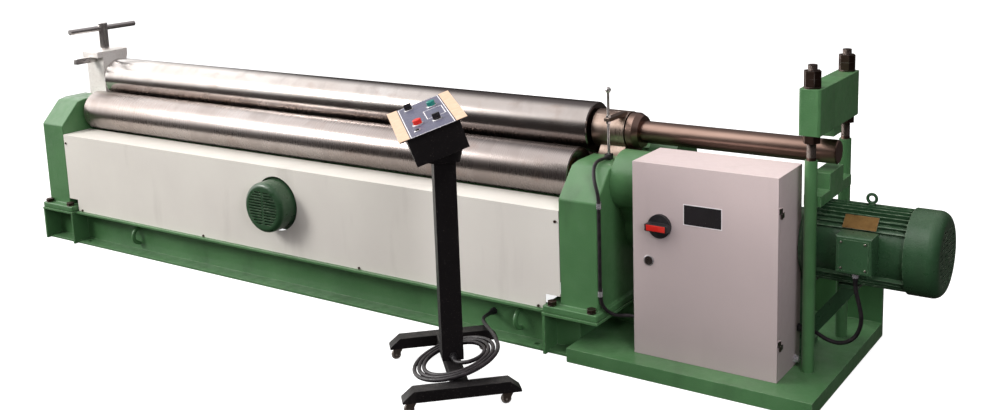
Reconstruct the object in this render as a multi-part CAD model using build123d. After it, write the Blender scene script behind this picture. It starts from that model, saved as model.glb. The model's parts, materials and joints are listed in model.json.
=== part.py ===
"""Three-roll plate rolling machine with its drive, electrical cabinet and wheeled control console.

X runs along the rolls, from the tipping end (-X) to the drive end (+X). Y runs from the front cover
to the back, Z is up, and the origin lies on the floor under the middle of the top roll. Millimetres.
"""
import math
import os

from build123d import *

os.makedirs("parts", exist_ok=True)

# Fits
running_clearance = 0.05
slide_clearance = 0.3
press_clearance = 0.02
bolt_clearance = 1.0
skin_gap = 1.0

# Rolls
roll_face_length = 3200.0
roll_end_gap = 30.0
top_roll_diameter = 220.0
lower_roll_diameter = 220.0
lower_roll_spacing = 330.0
lower_roll_height = 725.0
plate_gap = 15.0
lift_travel = 20.0
roll_edge_chamfer = 4.0
lower_journal_diameter = 80.0
lower_shoulder_length = 14.0
lower_bush_wall = 10.0
bush_flange_thickness = 12.0
bush_flange_rim = 12.0

# Base frame under the rolls
base_height = 185.0
base_depth = 840.0
base_plate = 12.0
base_flange_width = 75.0
base_end_margin = 2.0
base_seat_rim = 5.0
base_rib_setback = 2.0
base_cross_pitch = 1100.0
back_plate_thickness = 6.0
stool_width = 176.0
foundation_bolt_span_x = 3000.0
foundation_bolt_span_y = 770.0
foundation_hole_diameter = 26.0
lug_ring_radius = 42.0
lug_rod_radius = 11.0
lug_height = 92.0
lug_left_x = -1115.0
lug_right_x = 1393.0

# Housings that carry the rolls
housing_thickness = 180.0
housing_depth = 800.0
housing_foot_length = 262.0
housing_foot_inset = 24.5
housing_foot_thickness = 30.0
housing_foot_reach = 40.0
housing_rise = 75.0
shoulder_drop = 128.0
shoulder_depth = 115.0
shoulder_edge_depth = 50.0
shoulder_edge_drop = 10.0
slot_width = 190.0
foot_bolt_span_x = 188.0
foot_bolt_diameter = 24.0
foot_washer_ratio = 1.6
foot_washer_thickness = 4.0
bolt_flats_ratio = 1.5
bolt_head_ratio = 0.64
cavity_wall = 15.0
cavity_width = 300.0
cavity_sill = 30.0
cavity_height = 185.0

# Top roll bearings
shaft_diameter = 104.0
sleeve_diameter = 165.0
sleeve_length = 154.0
sleeve_gap = 12.0
sleeve_bush_wall = 8.0
collar_diameter = 160.0
collar_length = 56.0
collar_gap = 2.0
collar_chamfer = 12.0
tail_diameter = 95.0
tail_length = 836.0
block_thickness = 150.0
neck_width = 120.0
neck_rise = 30.0
block_top_drop = 15.0
end_chamfer = 4.0

# Tipping bearing at the free end
tip_journal_diameter = 80.0
tip_bush_length = 60.0
tip_bush_wall = 9.5
tip_bush_play = 3.5
tip_mouth_radius = 66.0
pivot_drop = 190.0
pivot_pin_diameter = 30.0
cheek_thickness = 21.0
arm_floor_gap = 3.0
block_floor = 62.0
head_height = 155.0
cap_half_width = 70.0
cap_front = 105.0
cap_back = 105.0
cap_thickness = 35.0
cap_web = 90.0
lock_bar_side = 32.0
lock_bar_drop = 45.0
lock_bar_front = 210.0
lock_bar_back = 70.0
clamp_stem_diameter = 55.0
clamp_stem_rise = 158.0
clamp_bar_diameter = 30.0
clamp_bar_length = 452.0

# Lift drive
lift_screw_diameter = 60.0
lift_screw_margin = 35.0
lift_case_height = 81.0
worm_wheel_diameter = 140.0
worm_wheel_face = 44.0
worm_wheel_hub_diameter = 100.0
worm_wheel_teeth = 30
worm_diameter = 44.0
worm_length = 90.0
worm_gap = 1.0
worm_drop = 16.0
cross_shaft_diameter = 36.0
cross_shaft_end_gap = 5.0
lift_wheel_face = 30.0
case_ear_thickness = 12.0
lift_motor_x = 15.0
lift_motor_height = 437.0
lift_motor_diameter = 230.0
lift_box_width = 180.0
lift_box_height = 230.0
lift_box_depth = 175.0
lift_box_wall = 14.0
lift_cowl_diameter = 250.0
lift_cowl_reach = 95.0
lift_cowl_length = 150.0
lift_cowl_wall = 3.0
lift_cowl_round = 24.0
lift_cowl_seat = 30.0
grille_slots = 12
grille_slot_height = 6.0
grille_radius = 92.0
grille_bar = 12.0

# Front cover
cover_sheet = 3.0
cover_top = 622.0
cover_flange = 177.0
cover_hole_diameter = 272.0
cover_notch_length = 72.0
cover_notch_height = 65.0
cover_screw_diameter = 12.0
cover_screw_head = 5.0
cover_screw_inset = 17.0
cover_screw_drop = 48.0
cover_screw_spread = 530.0

# Roll drive
gear_module = 8.0
roll_gear_teeth = 26
drive_gear_teeth = 36
gear_face = 80.0
gear_gap = 25.0
gear_backlash = 0.6
pressure_angle = 20.0
guard_sheet = 4.0
guard_depth = 130.0
guard_margin = 8.0
drive_shaft_diameter = 70.0
drive_shaft_reach = 110.0
gear_shaft_end = 8.0
journal_end_gap = 5.0
reducer_gap = 15.0
reducer_setback = 14.0
reducer_flange = 10.0
reducer_diameter = 220.0
reducer_neck_ratio = 0.62
reducer_neck_length = 60.0
reducer_groove_start = 250.0
reducer_groove_end = 330.0
reducer_groove_ratio = 0.9
reducer_socket = 90.0
pedestal_width = 180.0
pedestal_start = 70.0
pedestal_end = 30.0
pedestal_foot_rim = 15.0
pedestal_foot_height = 22.0
strut_thickness = 40.0
strut_depth = 85.0
strut_reach = 220.0
strut_seat_length = 80.0
strut_seat_width = 100.0

# Main motor
motor_flange_diameter = 340.0
motor_flange_thickness = 20.0
motor_length = 385.0
motor_core_diameter = 284.0
motor_fin_diameter = 316.0
motor_fins = 44
motor_fin_thickness = 4.0
motor_fin_root = 8.0
motor_bore_diameter = 130.0
motor_shield = 24.0
motor_shield_rim = 8.0
motor_shaft_diameter = 42.0
rotor_gap = 2.0
rotor_length = 170.0
rotor_tail = 80.0
cowl_length = 99.0
cowl_diameter = 330.0
cowl_wall = 3.0
cowl_round = 40.0
fan_diameter = 230.0
fan_gap = 30.0
fan_disc = 6.0
fan_blade_length = 46.0
fan_blade_thickness = 5.0
fan_blades = 8
terminal_width = 135.0
terminal_height = 145.0
terminal_depth = 86.0
terminal_offset = 136.0
terminal_neck = 8.0
terminal_lift = 24.0
terminal_wall = 6.0
terminal_round = 10.0
eye_ring_radius = 17.0
eye_rod_radius = 6.0
eye_foot_diameter = 26.0
eye_place = 0.52

# Platform under the drive
platform_height = 62.0
platform_end_margin = 85.0
platform_front = 467.0
platform_back = 430.0
platform_under_housing = 28.0
platform_top_plate = 16.0
platform_skirt = 14.0
upstand_length = 440.0
upstand_height = 190.0

# Hold-down over the tail
post_diameter = 48.0
post_spacing = 406.0
post_setback = 49.0
post_top_gap = 97.0
stud_diameter = 36.0
stud_rise = 88.0
stud_depth = 160.0
beam_length = 472.0
beam_width = 84.0
beam_height = 178.0
beam_rise = 58.0
beam_chamfer = 8.0
pad_width = 90.0
pad_gap = 0.5
nut_flats = 58.0
nut_height = 30.0
washer_thickness = 6.0
stand_bridge_height = 42.0
stand_bridge_gap = 8.0
stand_width = 160.0
stand_rim = 10.0

# Electrical cabinet
cabinet_gap = 16.0
cabinet_width = 600.0
cabinet_height = 800.0
cabinet_depth = 228.0
cabinet_clear = 7.0
cabinet_sheet = 3.0
door_depth = 21.0
door_gap = 1.0
hinge_radius = 4.0
hinge_height = 44.0
hinge_leaf = 30.0
hinge_low = 121.0
hinge_high = 640.0
plate_inset = 50.0
plate_standoff = 20.0
isolator_in = 121.0
isolator_up = 552.0
isolator_radius = 48.0
isolator_thickness = 16.0
isolator_grip_height = 29.0
isolator_grip_width = 30.0
isolator_shaft = 14.0
isolator_shaft_reach = 40.0
lock_in = 69.0
lock_up = 402.0
lock_radius = 17.0
lock_rim = 3.0
lock_head = 6.0
lock_tongue = 40.0

# Limit switch rod and its conduit
rod_offset = 22.0
rod_y = -165.0
rod_diameter = 12.0
rod_play = 4.0
rod_top = 216.0
rod_lug_rise = 70.0
rod_lug_thickness = 16.0
rod_reach = 22.0
rod_ball_radius = 13.0
switch_width = 28.0
switch_height = 24.0
conduit_diameter = 15.0
conduit_cabinet_inset = 15.0
conduit_setback = 5.0
clip_width = 22.0
clip_sheet = 3.0
clip_tab = 30.0
clip_high = 655.0
clip_low = 284.0

# Control console
console_x = 1379.0
console_y = -833.0
console_turn = 44.13
console_tilt = 18.2
console_leg_length = 456.0
console_leg_spread = 523.0
console_leg_width = 62.0
console_leg_height = 46.0
console_leg_clearance = 52.0
console_leg_slope = 44.0
console_column_side = 86.0
console_panel_depth = 266.0
console_panel_width = 526.0
console_panel_height = 1087.0
console_panel_setback = 63.0
console_panel_sheet = 4.0
console_body_depth = 115.0
console_body_overhang = 30.0
console_body_inset = 20.0
console_chin_drop = 50.0
button_radius = 17.0
button_height = 18.0
button_travel = 5.0
button_stem_radius = 9.0
selector_radius = 15.0
castor_wheel_radius = 20.0
castor_wheel_width = 16.0
castor_trail = 16.0
castor_axle = 8.0
castor_fork_thickness = 4.0
castor_end_inset = 42.0

# Cables
motor_cable_diameter = 16.0
lead_diameter = 16.0
gland_flats = 30.0
gland_length = 20.0
coil_tilt = 14.0
coil_first_radius = 124.0
coil_radius_step = 9.8
coil_half_turns = 6
coil_lead_in_radius = 62.0
coil_rest_gap = 3.0

# Places worked out from the sizes above
top_roll_radius = top_roll_diameter / 2
lower_roll_radius = lower_roll_diameter / 2
half_spacing = lower_roll_spacing / 2
roll_centre_distance = top_roll_radius + lower_roll_radius + plate_gap
top_roll_height = lower_roll_height + math.sqrt(roll_centre_distance**2 - half_spacing**2)
roll_end = roll_face_length / 2
housing_inner = roll_end + roll_end_gap
housing_mid = housing_inner + housing_thickness / 2
housing_outer = housing_inner + housing_thickness
housing_front = -housing_depth / 2
housing_top = lower_roll_height + housing_rise
foot_top = base_height + housing_foot_thickness
foot_mid = housing_mid - housing_foot_inset
rod_x = housing_mid + rod_offset
base_end = foot_mid + housing_foot_length / 2 + base_end_margin
slot_half = slot_width / 2
arm_half = block_thickness / 2
block_half_width = slot_half - slide_clearance
pivot_height = top_roll_height - pivot_drop
block_floor_top = pivot_height - arm_half - arm_floor_gap
block_bottom = block_floor_top - block_floor
slot_bottom = block_bottom - lift_travel - slide_clearance
cavity_floor = foot_top + cavity_sill
cavity_roof = cavity_floor + cavity_height
lift_case_top = cavity_floor + lift_case_height
worm_height = (lift_case_top + cavity_roof) / 2 - worm_drop
worm_y = -(worm_wheel_diameter / 2 + worm_diameter / 2 + worm_gap)
cross_shaft_half = housing_outer - cavity_wall - cross_shaft_end_gap
gear_start = housing_outer + gear_gap
gear_end = gear_start + gear_face
roll_gear_radius = gear_module * roll_gear_teeth / 2
drive_gear_radius = gear_module * drive_gear_teeth / 2
gear_centre_distance = roll_gear_radius + drive_gear_radius
drive_height = lower_roll_height - math.sqrt(gear_centre_distance**2 - half_spacing**2)
guard_end = housing_outer + guard_depth
reducer_start = guard_end + reducer_gap
cabinet_left = guard_end + cabinet_gap
cabinet_right = cabinet_left + cabinet_width
reducer_end = cabinet_right + reducer_setback
motor_start = reducer_end + motor_flange_thickness
motor_end = motor_start + motor_length
cowl_end = motor_end + cowl_length
terminal_back = -motor_core_diameter / 2 - terminal_neck
terminal_front = terminal_depth - terminal_back
terminal_bottom = drive_height + terminal_lift - terminal_height / 2
platform_start = housing_mid - platform_under_housing
post_x = reducer_end + post_setback
platform_end = post_x + post_diameter / 2 + platform_end_margin
platform_length = platform_end - platform_start
tail_radius = tail_diameter / 2
tail_start = roll_end + sleeve_gap + sleeve_length + collar_gap + collar_length
beam_bottom = top_roll_height + tail_radius + beam_rise
beam_top = beam_bottom + beam_height
post_top = beam_bottom - post_top_gap
cabinet_floor = platform_height
cabinet_back = -reducer_diameter / 2 - cabinet_clear
cabinet_mouth = cabinet_back - cabinet_depth
cabinet_front = door_depth + door_gap - cabinet_mouth
cover_hole_z = lift_motor_height
console_place = Pos(console_x, console_y, 0) * Rot(0, 0, console_turn)


def block(x0, x1, y0, y1, z0, z1):
    """A box between two corners."""
    return Pos((x0 + x1) / 2, (y0 + y1) / 2, (z0 + z1) / 2) * Box(x1 - x0, y1 - y0, z1 - z0)


def rod_along_x(diameter, x0, x1, y, z):
    """A round bar along X."""
    return Pos((x0 + x1) / 2, y, z) * Rot(0, 90, 0) * Cylinder(diameter / 2, x1 - x0)


def rod_along_y(diameter, y0, y1, x, z):
    """A round bar along Y."""
    return Pos(x, (y0 + y1) / 2, z) * Rot(90, 0, 0) * Cylinder(diameter / 2, y1 - y0)


def rod_along_z(diameter, z0, z1, x, y):
    """A round bar along Z."""
    return Pos(x, y, (z0 + z1) / 2) * Cylinder(diameter / 2, z1 - z0)


def hexagon(flats, length):
    """A hexagon bar standing on the origin."""
    return extrude(RegularPolygon(flats / 2, 6, major_radius=False), length)


def across(points, x0, x1):
    """A solid with an outline in the YZ plane, from x0 to x1."""
    outline = make_face(Polyline([(x0, y, z) for y, z in points], close=True))
    return extrude(outline, x1 - x0, dir=(1, 0, 0))


def along_y(points, y0, y1):
    """A solid with an outline in the XZ plane, from y0 to y1."""
    outline = make_face(Polyline([(x, y0, z) for x, z in points], close=True))
    return extrude(outline, y1 - y0, dir=(0, 1, 0))


def turned(profile, axis_y, axis_z):
    """A turned piece about an axis along X, from (x, radius) points."""
    points = [(profile[0][0], 0)] + profile + [(profile[-1][0], 0)]
    face = make_face(Polyline([(x, 0, r) for x, r in points], close=True))
    return Pos(0, axis_y, axis_z) * revolve(face, Axis.X)


def save(name, *solids):
    """Write one node, as one solid or a group of separate solids."""
    shape = solids[0] if len(solids) == 1 else Compound(children=list(solids))
    export_step(shape, f"parts/{name}.step")


# Base frame: two channels with the web set back, cross plates, seats, a back plate and lifting lugs
def lifting_lug(x, side):
    """A half ring of round bar on the outside of a channel web."""
    web = side * (base_depth / 2 - base_flange_width)
    ring = Pos(x, web, lug_height) * Rot(0, 90, 0) * Torus(lug_ring_radius, lug_rod_radius)
    reach = lug_ring_radius + lug_rod_radius + 1
    near, far = sorted((web - side * base_plate / 2, web + side * reach))
    return ring & block(x - reach, x + reach, near, far, lug_height - reach, lug_height + reach)


def feet_notches(front, back):
    """The room that a sheet between the housings leaves for their feet and bolts."""
    half = housing_inner - press_clearance
    notches = Part()
    for side in (-1, 1):
        x0, x1 = sorted((side * (half - cover_notch_length), side * (half + 1)))
        notches += block(x0, x1, front - 1, back + 1, base_height - 1, base_height + cover_notch_height)
    return notches


def back_plate(web):
    """A plate on the back channel that closes the back between the housings."""
    half = housing_inner - skin_gap
    back = housing_depth / 2
    front = back - back_plate_thickness
    plate = block(-half, half, front, back, base_height, cover_top) - feet_notches(front, back)
    inside = half - cover_notch_length
    return plate + block(-inside, inside, web, back, base_height - base_plate, base_height)


def base_frame():
    """The welded frame under the housings, closed at its back, its right end on the platform."""
    half = base_depth / 2
    web = half - base_flange_width
    seat_depth = housing_depth / 2 + housing_foot_reach + base_seat_rim
    frame = Part()
    for side in (-1, 1):
        y0, y1 = sorted((side * (web - base_plate), side * web))
        frame += block(-base_end, base_end, y0, y1, 0, base_height)
        y0, y1 = sorted((side * (web - base_plate), side * half))
        frame += block(-base_end, base_end, y0, y1, 0, base_plate)
        frame += block(-base_end, base_end, y0, y1, base_height - base_plate, base_height)
        for middle in (-foot_mid, foot_mid):
            for end in (-1, 1):
                x = middle + end * (housing_foot_length - base_plate) / 2
                y0, y1 = sorted((side * (web - base_plate), side * (seat_depth - base_rib_setback)))
                frame += block(x - base_plate / 2, x + base_plate / 2, y0, y1, 0, base_height)
        for x in (lug_left_x, lug_right_x):
            frame += lifting_lug(x, side)
    plates = [-base_end + base_plate / 2, -base_cross_pitch, 0, base_cross_pitch]
    plates.append(platform_start - skin_gap - base_plate / 2)
    for x in plates:
        frame += block(x - base_plate / 2, x + base_plate / 2, -web, web, 0, base_height)
    seat_half = housing_foot_length / 2 + base_end_margin
    for middle in (-foot_mid, foot_mid):
        x0, x1 = middle - seat_half, middle + seat_half
        frame += block(x0, x1, -seat_depth, seat_depth, base_height - base_plate, base_height)
    frame += block(
        lift_motor_x - lift_box_width / 2, lift_motor_x + lift_box_width / 2,
        -web, web, base_height - base_plate, base_height,
    )
    frame += back_plate(web)
    under_seat = base_height - base_plate
    frame -= block(platform_start - skin_gap, base_end + 1, -seat_depth, seat_depth, -1, under_seat)
    stool = stool_width / 2
    frame += block(platform_start, base_end, -stool, stool, platform_height, under_seat)
    for x in (-1, 1):
        for y in (-1, 1):
            place = (x * foundation_bolt_span_x / 2, y * foundation_bolt_span_y / 2)
            frame -= rod_along_z(foundation_hole_diameter, -1, base_plate + 1, *place)
    for x, y in foot_bolt_places():
        hole = foot_bolt_diameter + bolt_clearance
        frame -= rod_along_z(hole, base_height - base_plate - 1, base_height + 1, x, y)
    return frame


def foot_bolt_places():
    """Where the housing feet are bolted down."""
    y = housing_depth / 2 + housing_foot_reach / 2
    return [
        (side * foot_mid + end * foot_bolt_span_x / 2, face * y)
        for side in (-1, 1) for end in (-1, 1) for face in (-1, 1)
    ]


def drive_platform():
    """A low plate box open underneath, with two ribs and an upstand at its back right corner."""
    box = block(platform_start, platform_end, -platform_front, platform_back, 0, platform_height)
    bay = (platform_length - 4 * platform_skirt) / 3
    for i in range(3):
        x = platform_start + platform_skirt + i * (bay + platform_skirt)
        box -= block(
            x, x + bay, -platform_front + platform_skirt, platform_back - platform_skirt,
            -1, platform_height - platform_top_plate,
        )
    return box + block(
        platform_end - upstand_length, platform_end, platform_back - platform_top_plate, platform_back,
        platform_height, platform_height + upstand_height,
    )


save("base_frame", base_frame())
save("drive_platform", drive_platform())


# Housings and their bolts
def housing(side):
    """One end housing with its foot, top slot, journal bores and lift cavity."""
    half = housing_depth / 2
    ridge = half - shoulder_depth
    outline = [
        (-half, foot_top), (-half, housing_top - shoulder_drop), (-ridge, housing_top - shoulder_edge_drop),
        (-ridge + shoulder_edge_depth, housing_top), (ridge - shoulder_edge_depth, housing_top),
        (ridge, housing_top - shoulder_edge_drop), (half, housing_top - shoulder_drop), (half, foot_top),
    ]
    x0, x1 = sorted((side * housing_inner, side * housing_outer))
    middle = side * housing_mid
    body = across(outline, x0, x1)
    reach = half + housing_foot_reach
    f0, f1 = side * foot_mid - housing_foot_length / 2, side * foot_mid + housing_foot_length / 2
    body += block(f0, f1, -reach, reach, base_height, foot_top)
    body -= block(x0 - 1, x1 + 1, -slot_half, slot_half, slot_bottom, housing_top + 1)
    for y in (-half_spacing, half_spacing):
        bore = lower_journal_diameter + 2 * lower_bush_wall
        body -= rod_along_x(bore, x0 - 1, x1 + 1, y, lower_roll_height)
    screw_hole = lift_screw_diameter + 2 * slide_clearance
    body -= rod_along_z(screw_hole, cavity_roof - 1, slot_bottom + 1, middle, 0)
    c0, c1 = sorted((side * (housing_inner - 1), side * (housing_outer - cavity_wall)))
    body -= block(c0, c1, -cavity_width / 2, cavity_width / 2, cavity_floor, cavity_roof)
    for x, y in foot_bolt_places():
        if x * side > 0:
            body -= rod_along_z(foot_bolt_diameter + bolt_clearance, base_height - 1, foot_top + 1, x, y)
    return body


def foot_bolt(x, y):
    """A hexagon bolt with its washer."""
    shank = rod_along_z(foot_bolt_diameter, base_height - base_plate, foot_top + 1, x, y)
    seat = foot_top + foot_washer_thickness
    washer = rod_along_z(foot_bolt_diameter * foot_washer_ratio, foot_top, seat, x, y)
    head = hexagon(foot_bolt_diameter * bolt_flats_ratio, foot_bolt_diameter * bolt_head_ratio)
    return shank + washer + Pos(x, y, seat) * head


def cover_screw(x, z):
    """A button head screw in the face of the front cover."""
    head = rod_along_y(cover_screw_diameter, housing_front - cover_screw_head, housing_front, x, z)
    return head + rod_along_y(cover_screw_diameter / 2, housing_front - 1, housing_front + cover_sheet, x, z)


def cover_screw_places():
    """Where the front cover is screwed on."""
    half = housing_inner - press_clearance
    low = base_height + cover_screw_diameter * 0.6
    high = cover_top - cover_screw_drop
    upper = [(-half + cover_screw_inset, high), (half - cover_screw_inset, high)]
    edge = half - cover_notch_length - 3 * cover_screw_diameter
    return upper + [(x, low) for x in (-edge, -cover_screw_spread, cover_screw_spread, edge)]


save("left_housing", housing(-1))
save("right_housing", housing(1))


# Front cover: one folded sheet with a hole for the lift motor
def front_cover():
    """An angle of sheet, notched over the housing feet."""
    half = housing_inner - press_clearance
    back = housing_front + cover_sheet
    cover = block(-half, half, housing_front, back, base_height, cover_top)
    flange_back = housing_front + cover_flange
    cover += block(-half, half, housing_front, flange_back, cover_top - cover_sheet, cover_top)
    cover -= feet_notches(housing_front, back)
    cover -= rod_along_y(cover_hole_diameter, housing_front - 1, back + 1, lift_motor_x, cover_hole_z)
    for x, z in cover_screw_places():
        cover -= rod_along_y(cover_screw_diameter / 2, housing_front - 1, back + 1, x, z)
    return cover


save("front_cover", front_cover())


# Rolls
def lower_roll(y):
    """A driven roll with its journals, the longer one carrying the gear."""
    r = lower_roll_radius
    journal = lower_journal_diameter / 2
    shoulder = journal + lower_bush_wall
    profile = [
        (-housing_outer - journal_end_gap, journal), (-roll_end - lower_shoulder_length, journal),
        (-roll_end - lower_shoulder_length, shoulder), (-roll_end, shoulder),
        (-roll_end, r - roll_edge_chamfer), (-roll_end + roll_edge_chamfer, r),
        (roll_end - roll_edge_chamfer, r), (roll_end, r - roll_edge_chamfer),
        (roll_end, shoulder), (roll_end + lower_shoulder_length, shoulder),
        (roll_end + lower_shoulder_length, journal), (gear_end + gear_shaft_end, journal),
    ]
    return turned(profile, y, lower_roll_height)


def lower_bush(side, y):
    """A flanged bush in a housing."""
    bore = lower_journal_diameter / 2 + running_clearance
    outer = lower_journal_diameter / 2 + lower_bush_wall - press_clearance
    inner_face = housing_inner - bush_flange_thickness
    x0, x1 = sorted((side * inner_face, side * housing_outer))
    f0, f1 = sorted((side * inner_face, side * housing_inner))
    bush = rod_along_x(2 * outer, x0, x1, y, lower_roll_height)
    bush += rod_along_x(2 * (outer + bush_flange_rim), f0, f1, y, lower_roll_height)
    return bush - rod_along_x(2 * bore, x0 - 1, x1 + 1, y, lower_roll_height)


def top_roll():
    """The lifting roll with its short journal, thrust collar and long tail."""
    r = top_roll_radius
    shaft = shaft_diameter / 2
    journal = tip_journal_diameter / 2
    collar = collar_diameter / 2
    nose = -housing_mid - tip_bush_length / 2
    collar_start = tail_start - collar_length
    tail_end = tail_start + tail_length
    profile = [
        (nose, journal - end_chamfer), (nose + end_chamfer, journal), (-roll_end, journal),
        (-roll_end, r - roll_edge_chamfer), (-roll_end + roll_edge_chamfer, r),
        (roll_end - roll_edge_chamfer, r), (roll_end, r - roll_edge_chamfer), (roll_end, shaft),
        (collar_start, shaft), (collar_start, collar - end_chamfer), (collar_start + end_chamfer, collar),
        (tail_start - collar_chamfer * 2, collar), (tail_start, collar - collar_chamfer),
        (tail_start, tail_radius), (tail_end - end_chamfer, tail_radius),
        (tail_end, tail_radius - end_chamfer),
    ]
    return turned(profile, 0, top_roll_height)


save("front_lower_roll", lower_roll(-half_spacing))
save("back_lower_roll", lower_roll(half_spacing))
save("lower_roll_bushes", *[lower_bush(side, y) for side in (-1, 1) for y in (-half_spacing, half_spacing)])
save("top_roll", top_roll())


# Right bearing of the top roll, on its lifting block
def sleeve_span():
    """Where the right bearing sleeve starts and ends along X."""
    start = roll_end + sleeve_gap
    return start, start + sleeve_length


def right_bearing_block():
    """A bearing sleeve on a neck and a block that slides in the housing slot."""
    x0, x1 = sleeve_span()
    near, far = housing_mid - arm_half, housing_mid + arm_half
    shoulder = housing_top - block_top_drop
    body = block(near, far, -block_half_width, block_half_width, block_bottom, shoulder)
    neck = neck_width / 2
    top = top_roll_height
    waist = housing_top + neck_rise
    body += across(
        [(-block_half_width, shoulder), (-neck, waist), (-neck, top), (neck, top), (neck, waist),
         (block_half_width, shoulder)],
        max(x0, near), min(x1, far),
    )
    body += rod_along_x(sleeve_diameter, x0, x1, 0, top)
    lug_z = top + rod_lug_rise
    lug_top = lug_z + rod_lug_thickness
    half = rod_lug_half()
    body += block(rod_x - half, rod_x + half, rod_y - half, -sleeve_diameter / 8, lug_z, lug_top)
    bore = shaft_diameter + 2 * sleeve_bush_wall
    body -= rod_along_x(bore, x0 - 1, x1 + 1, 0, top)
    return body - rod_along_z(rod_diameter + 2 * press_clearance, lug_z - 1, lug_top + 1, rod_x, rod_y)


def rod_lug_half():
    """Half the width of the lug that carries the limit rod."""
    return rod_diameter * 1.2


def top_roll_bush():
    """The plain bush in the right bearing sleeve."""
    x0, x1 = sleeve_span()
    outer = shaft_diameter + 2 * (sleeve_bush_wall - press_clearance)
    bush = rod_along_x(outer, x0, x1, 0, top_roll_height)
    return bush - rod_along_x(shaft_diameter + 2 * running_clearance, x0 - 1, x1 + 1, 0, top_roll_height)


def lift_screw(side):
    """The screw under a lifting block."""
    low = cavity_floor + lift_travel + lift_screw_margin
    return rod_along_z(lift_screw_diameter, low, block_bottom, side * housing_mid, 0)


def limit_rod():
    """A thin rod with a ball top and two nuts, moved by the bearing block."""
    lug_z = top_roll_height + rod_lug_rise
    ball = top_roll_height + rod_top - rod_ball_radius
    rod = rod_along_z(rod_diameter, housing_top + rod_reach, ball, rod_x, rod_y)
    rod += Pos(rod_x, rod_y, ball) * Sphere(rod_ball_radius)
    nut = rod_diameter * 0.8
    for z in (lug_z + rod_lug_thickness, lug_z - nut):
        rod += Pos(rod_x, rod_y, z) * hexagon(rod_diameter * 1.6, nut)
    return rod


save("right_bearing_block", right_bearing_block() + lift_screw(1))
save("top_roll_bush", top_roll_bush())
save("limit_rod", limit_rod())


# Left lifting block and the tipping bearing
def left_lift_block():
    """A fork that slides in the left housing and carries the pivot pin."""
    x0, x1 = -housing_mid - arm_half, -housing_mid + arm_half
    top = pivot_height + arm_half
    body = block(x0, x1, -block_half_width, block_half_width, block_bottom, top)
    inner = block_half_width - cheek_thickness
    body -= block(x0 - 1, x1 + 1, -inner, inner, block_floor_top, top + 1)
    return body - rod_along_y(
        pivot_pin_diameter + 2 * press_clearance, -slot_half, slot_half, -housing_mid, pivot_height
    )


def tipping_bearing():
    """The arm that holds the short journal and tips outwards about its pin."""
    half = block_half_width - cheek_thickness - slide_clearance
    middle = -housing_mid
    bush = tip_bush_length / 2
    head_top = top_roll_height + head_height
    arm = block(middle - arm_half, middle + arm_half, -half, half, pivot_height, head_top)
    cap_bottom = head_top - cap_thickness
    left, right = middle - cap_half_width, middle + cap_half_width
    arm += block(left, right, -cap_front, cap_back, cap_bottom, head_top)
    arm += across([(half, cap_bottom), (half, cap_bottom - cap_web), (cap_back, cap_bottom)], left, right)
    arm += rod_along_y(2 * arm_half, -half, half, middle, pivot_height)
    arm -= rod_along_y(pivot_pin_diameter + 2 * running_clearance, -half - 1, half + 1, middle, pivot_height)
    seat = tip_journal_diameter / 2 + tip_bush_play + tip_bush_wall
    bore = seat - tip_bush_wall
    arm -= turned(
        [(middle - arm_half - 1, bore), (middle - bush, bore), (middle - bush, seat),
         (middle + bush, seat), (middle + arm_half + 1, tip_mouth_radius)],
        0, top_roll_height,
    )
    low = head_top - lock_bar_drop - lock_bar_side / 2 - slide_clearance
    side = lock_bar_side / 2 + slide_clearance
    arm -= block(middle - side, middle + side, -cap_front - 1, half, low, low + 2 * side)
    hole = clamp_stem_diameter + 2 * running_clearance
    return arm - rod_along_z(hole, head_top - lock_bar_drop, head_top + 1, middle, 0)


def tipping_bush():
    """The bush ring of the tipping bearing, bored to swing clear of the journal."""
    bore = tip_journal_diameter / 2 + tip_bush_play
    x0, x1 = -housing_mid - tip_bush_length / 2, -housing_mid + tip_bush_length / 2
    ring = rod_along_x(2 * (bore + tip_bush_wall - press_clearance), x0, x1, 0, top_roll_height)
    return ring - rod_along_x(2 * bore, x0 - 1, x1 + 1, 0, top_roll_height)


def lock_bar():
    """The square bar pushed through the head of the tipping bearing."""
    z = top_roll_height + head_height - lock_bar_drop
    side = lock_bar_side / 2
    bar = block(-housing_mid - side, -housing_mid + side, -lock_bar_front, lock_bar_back, z - side, z + side)
    return chamfer(bar.faces().sort_by(Axis.Y)[0].edges(), 3)


def clamp_screw():
    """The screw with a cross handle that clamps the lock bar."""
    head_top = top_roll_height + head_height
    low = head_top - lock_bar_drop + lock_bar_side / 2 + slide_clearance
    top = head_top + clamp_stem_rise
    screw = rod_along_z(clamp_stem_diameter, low, top, -housing_mid, 0)
    screw = chamfer(screw.edges().sort_by(Axis.Z)[-1], 3)
    half = clamp_bar_length / 2
    return screw + rod_along_y(clamp_bar_diameter, -half, half, -housing_mid, top - clamp_bar_diameter)


save("left_lift_block", left_lift_block() + lift_screw(-1))
save("tipping_bearing", tipping_bearing())
save("tipping_bush", tipping_bush())
save("tipping_pin", rod_along_y(
    pivot_pin_diameter, -block_half_width, block_half_width, -housing_mid, pivot_height
))
save("lock_bar", lock_bar())
save("clamp_screw", clamp_screw())


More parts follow.
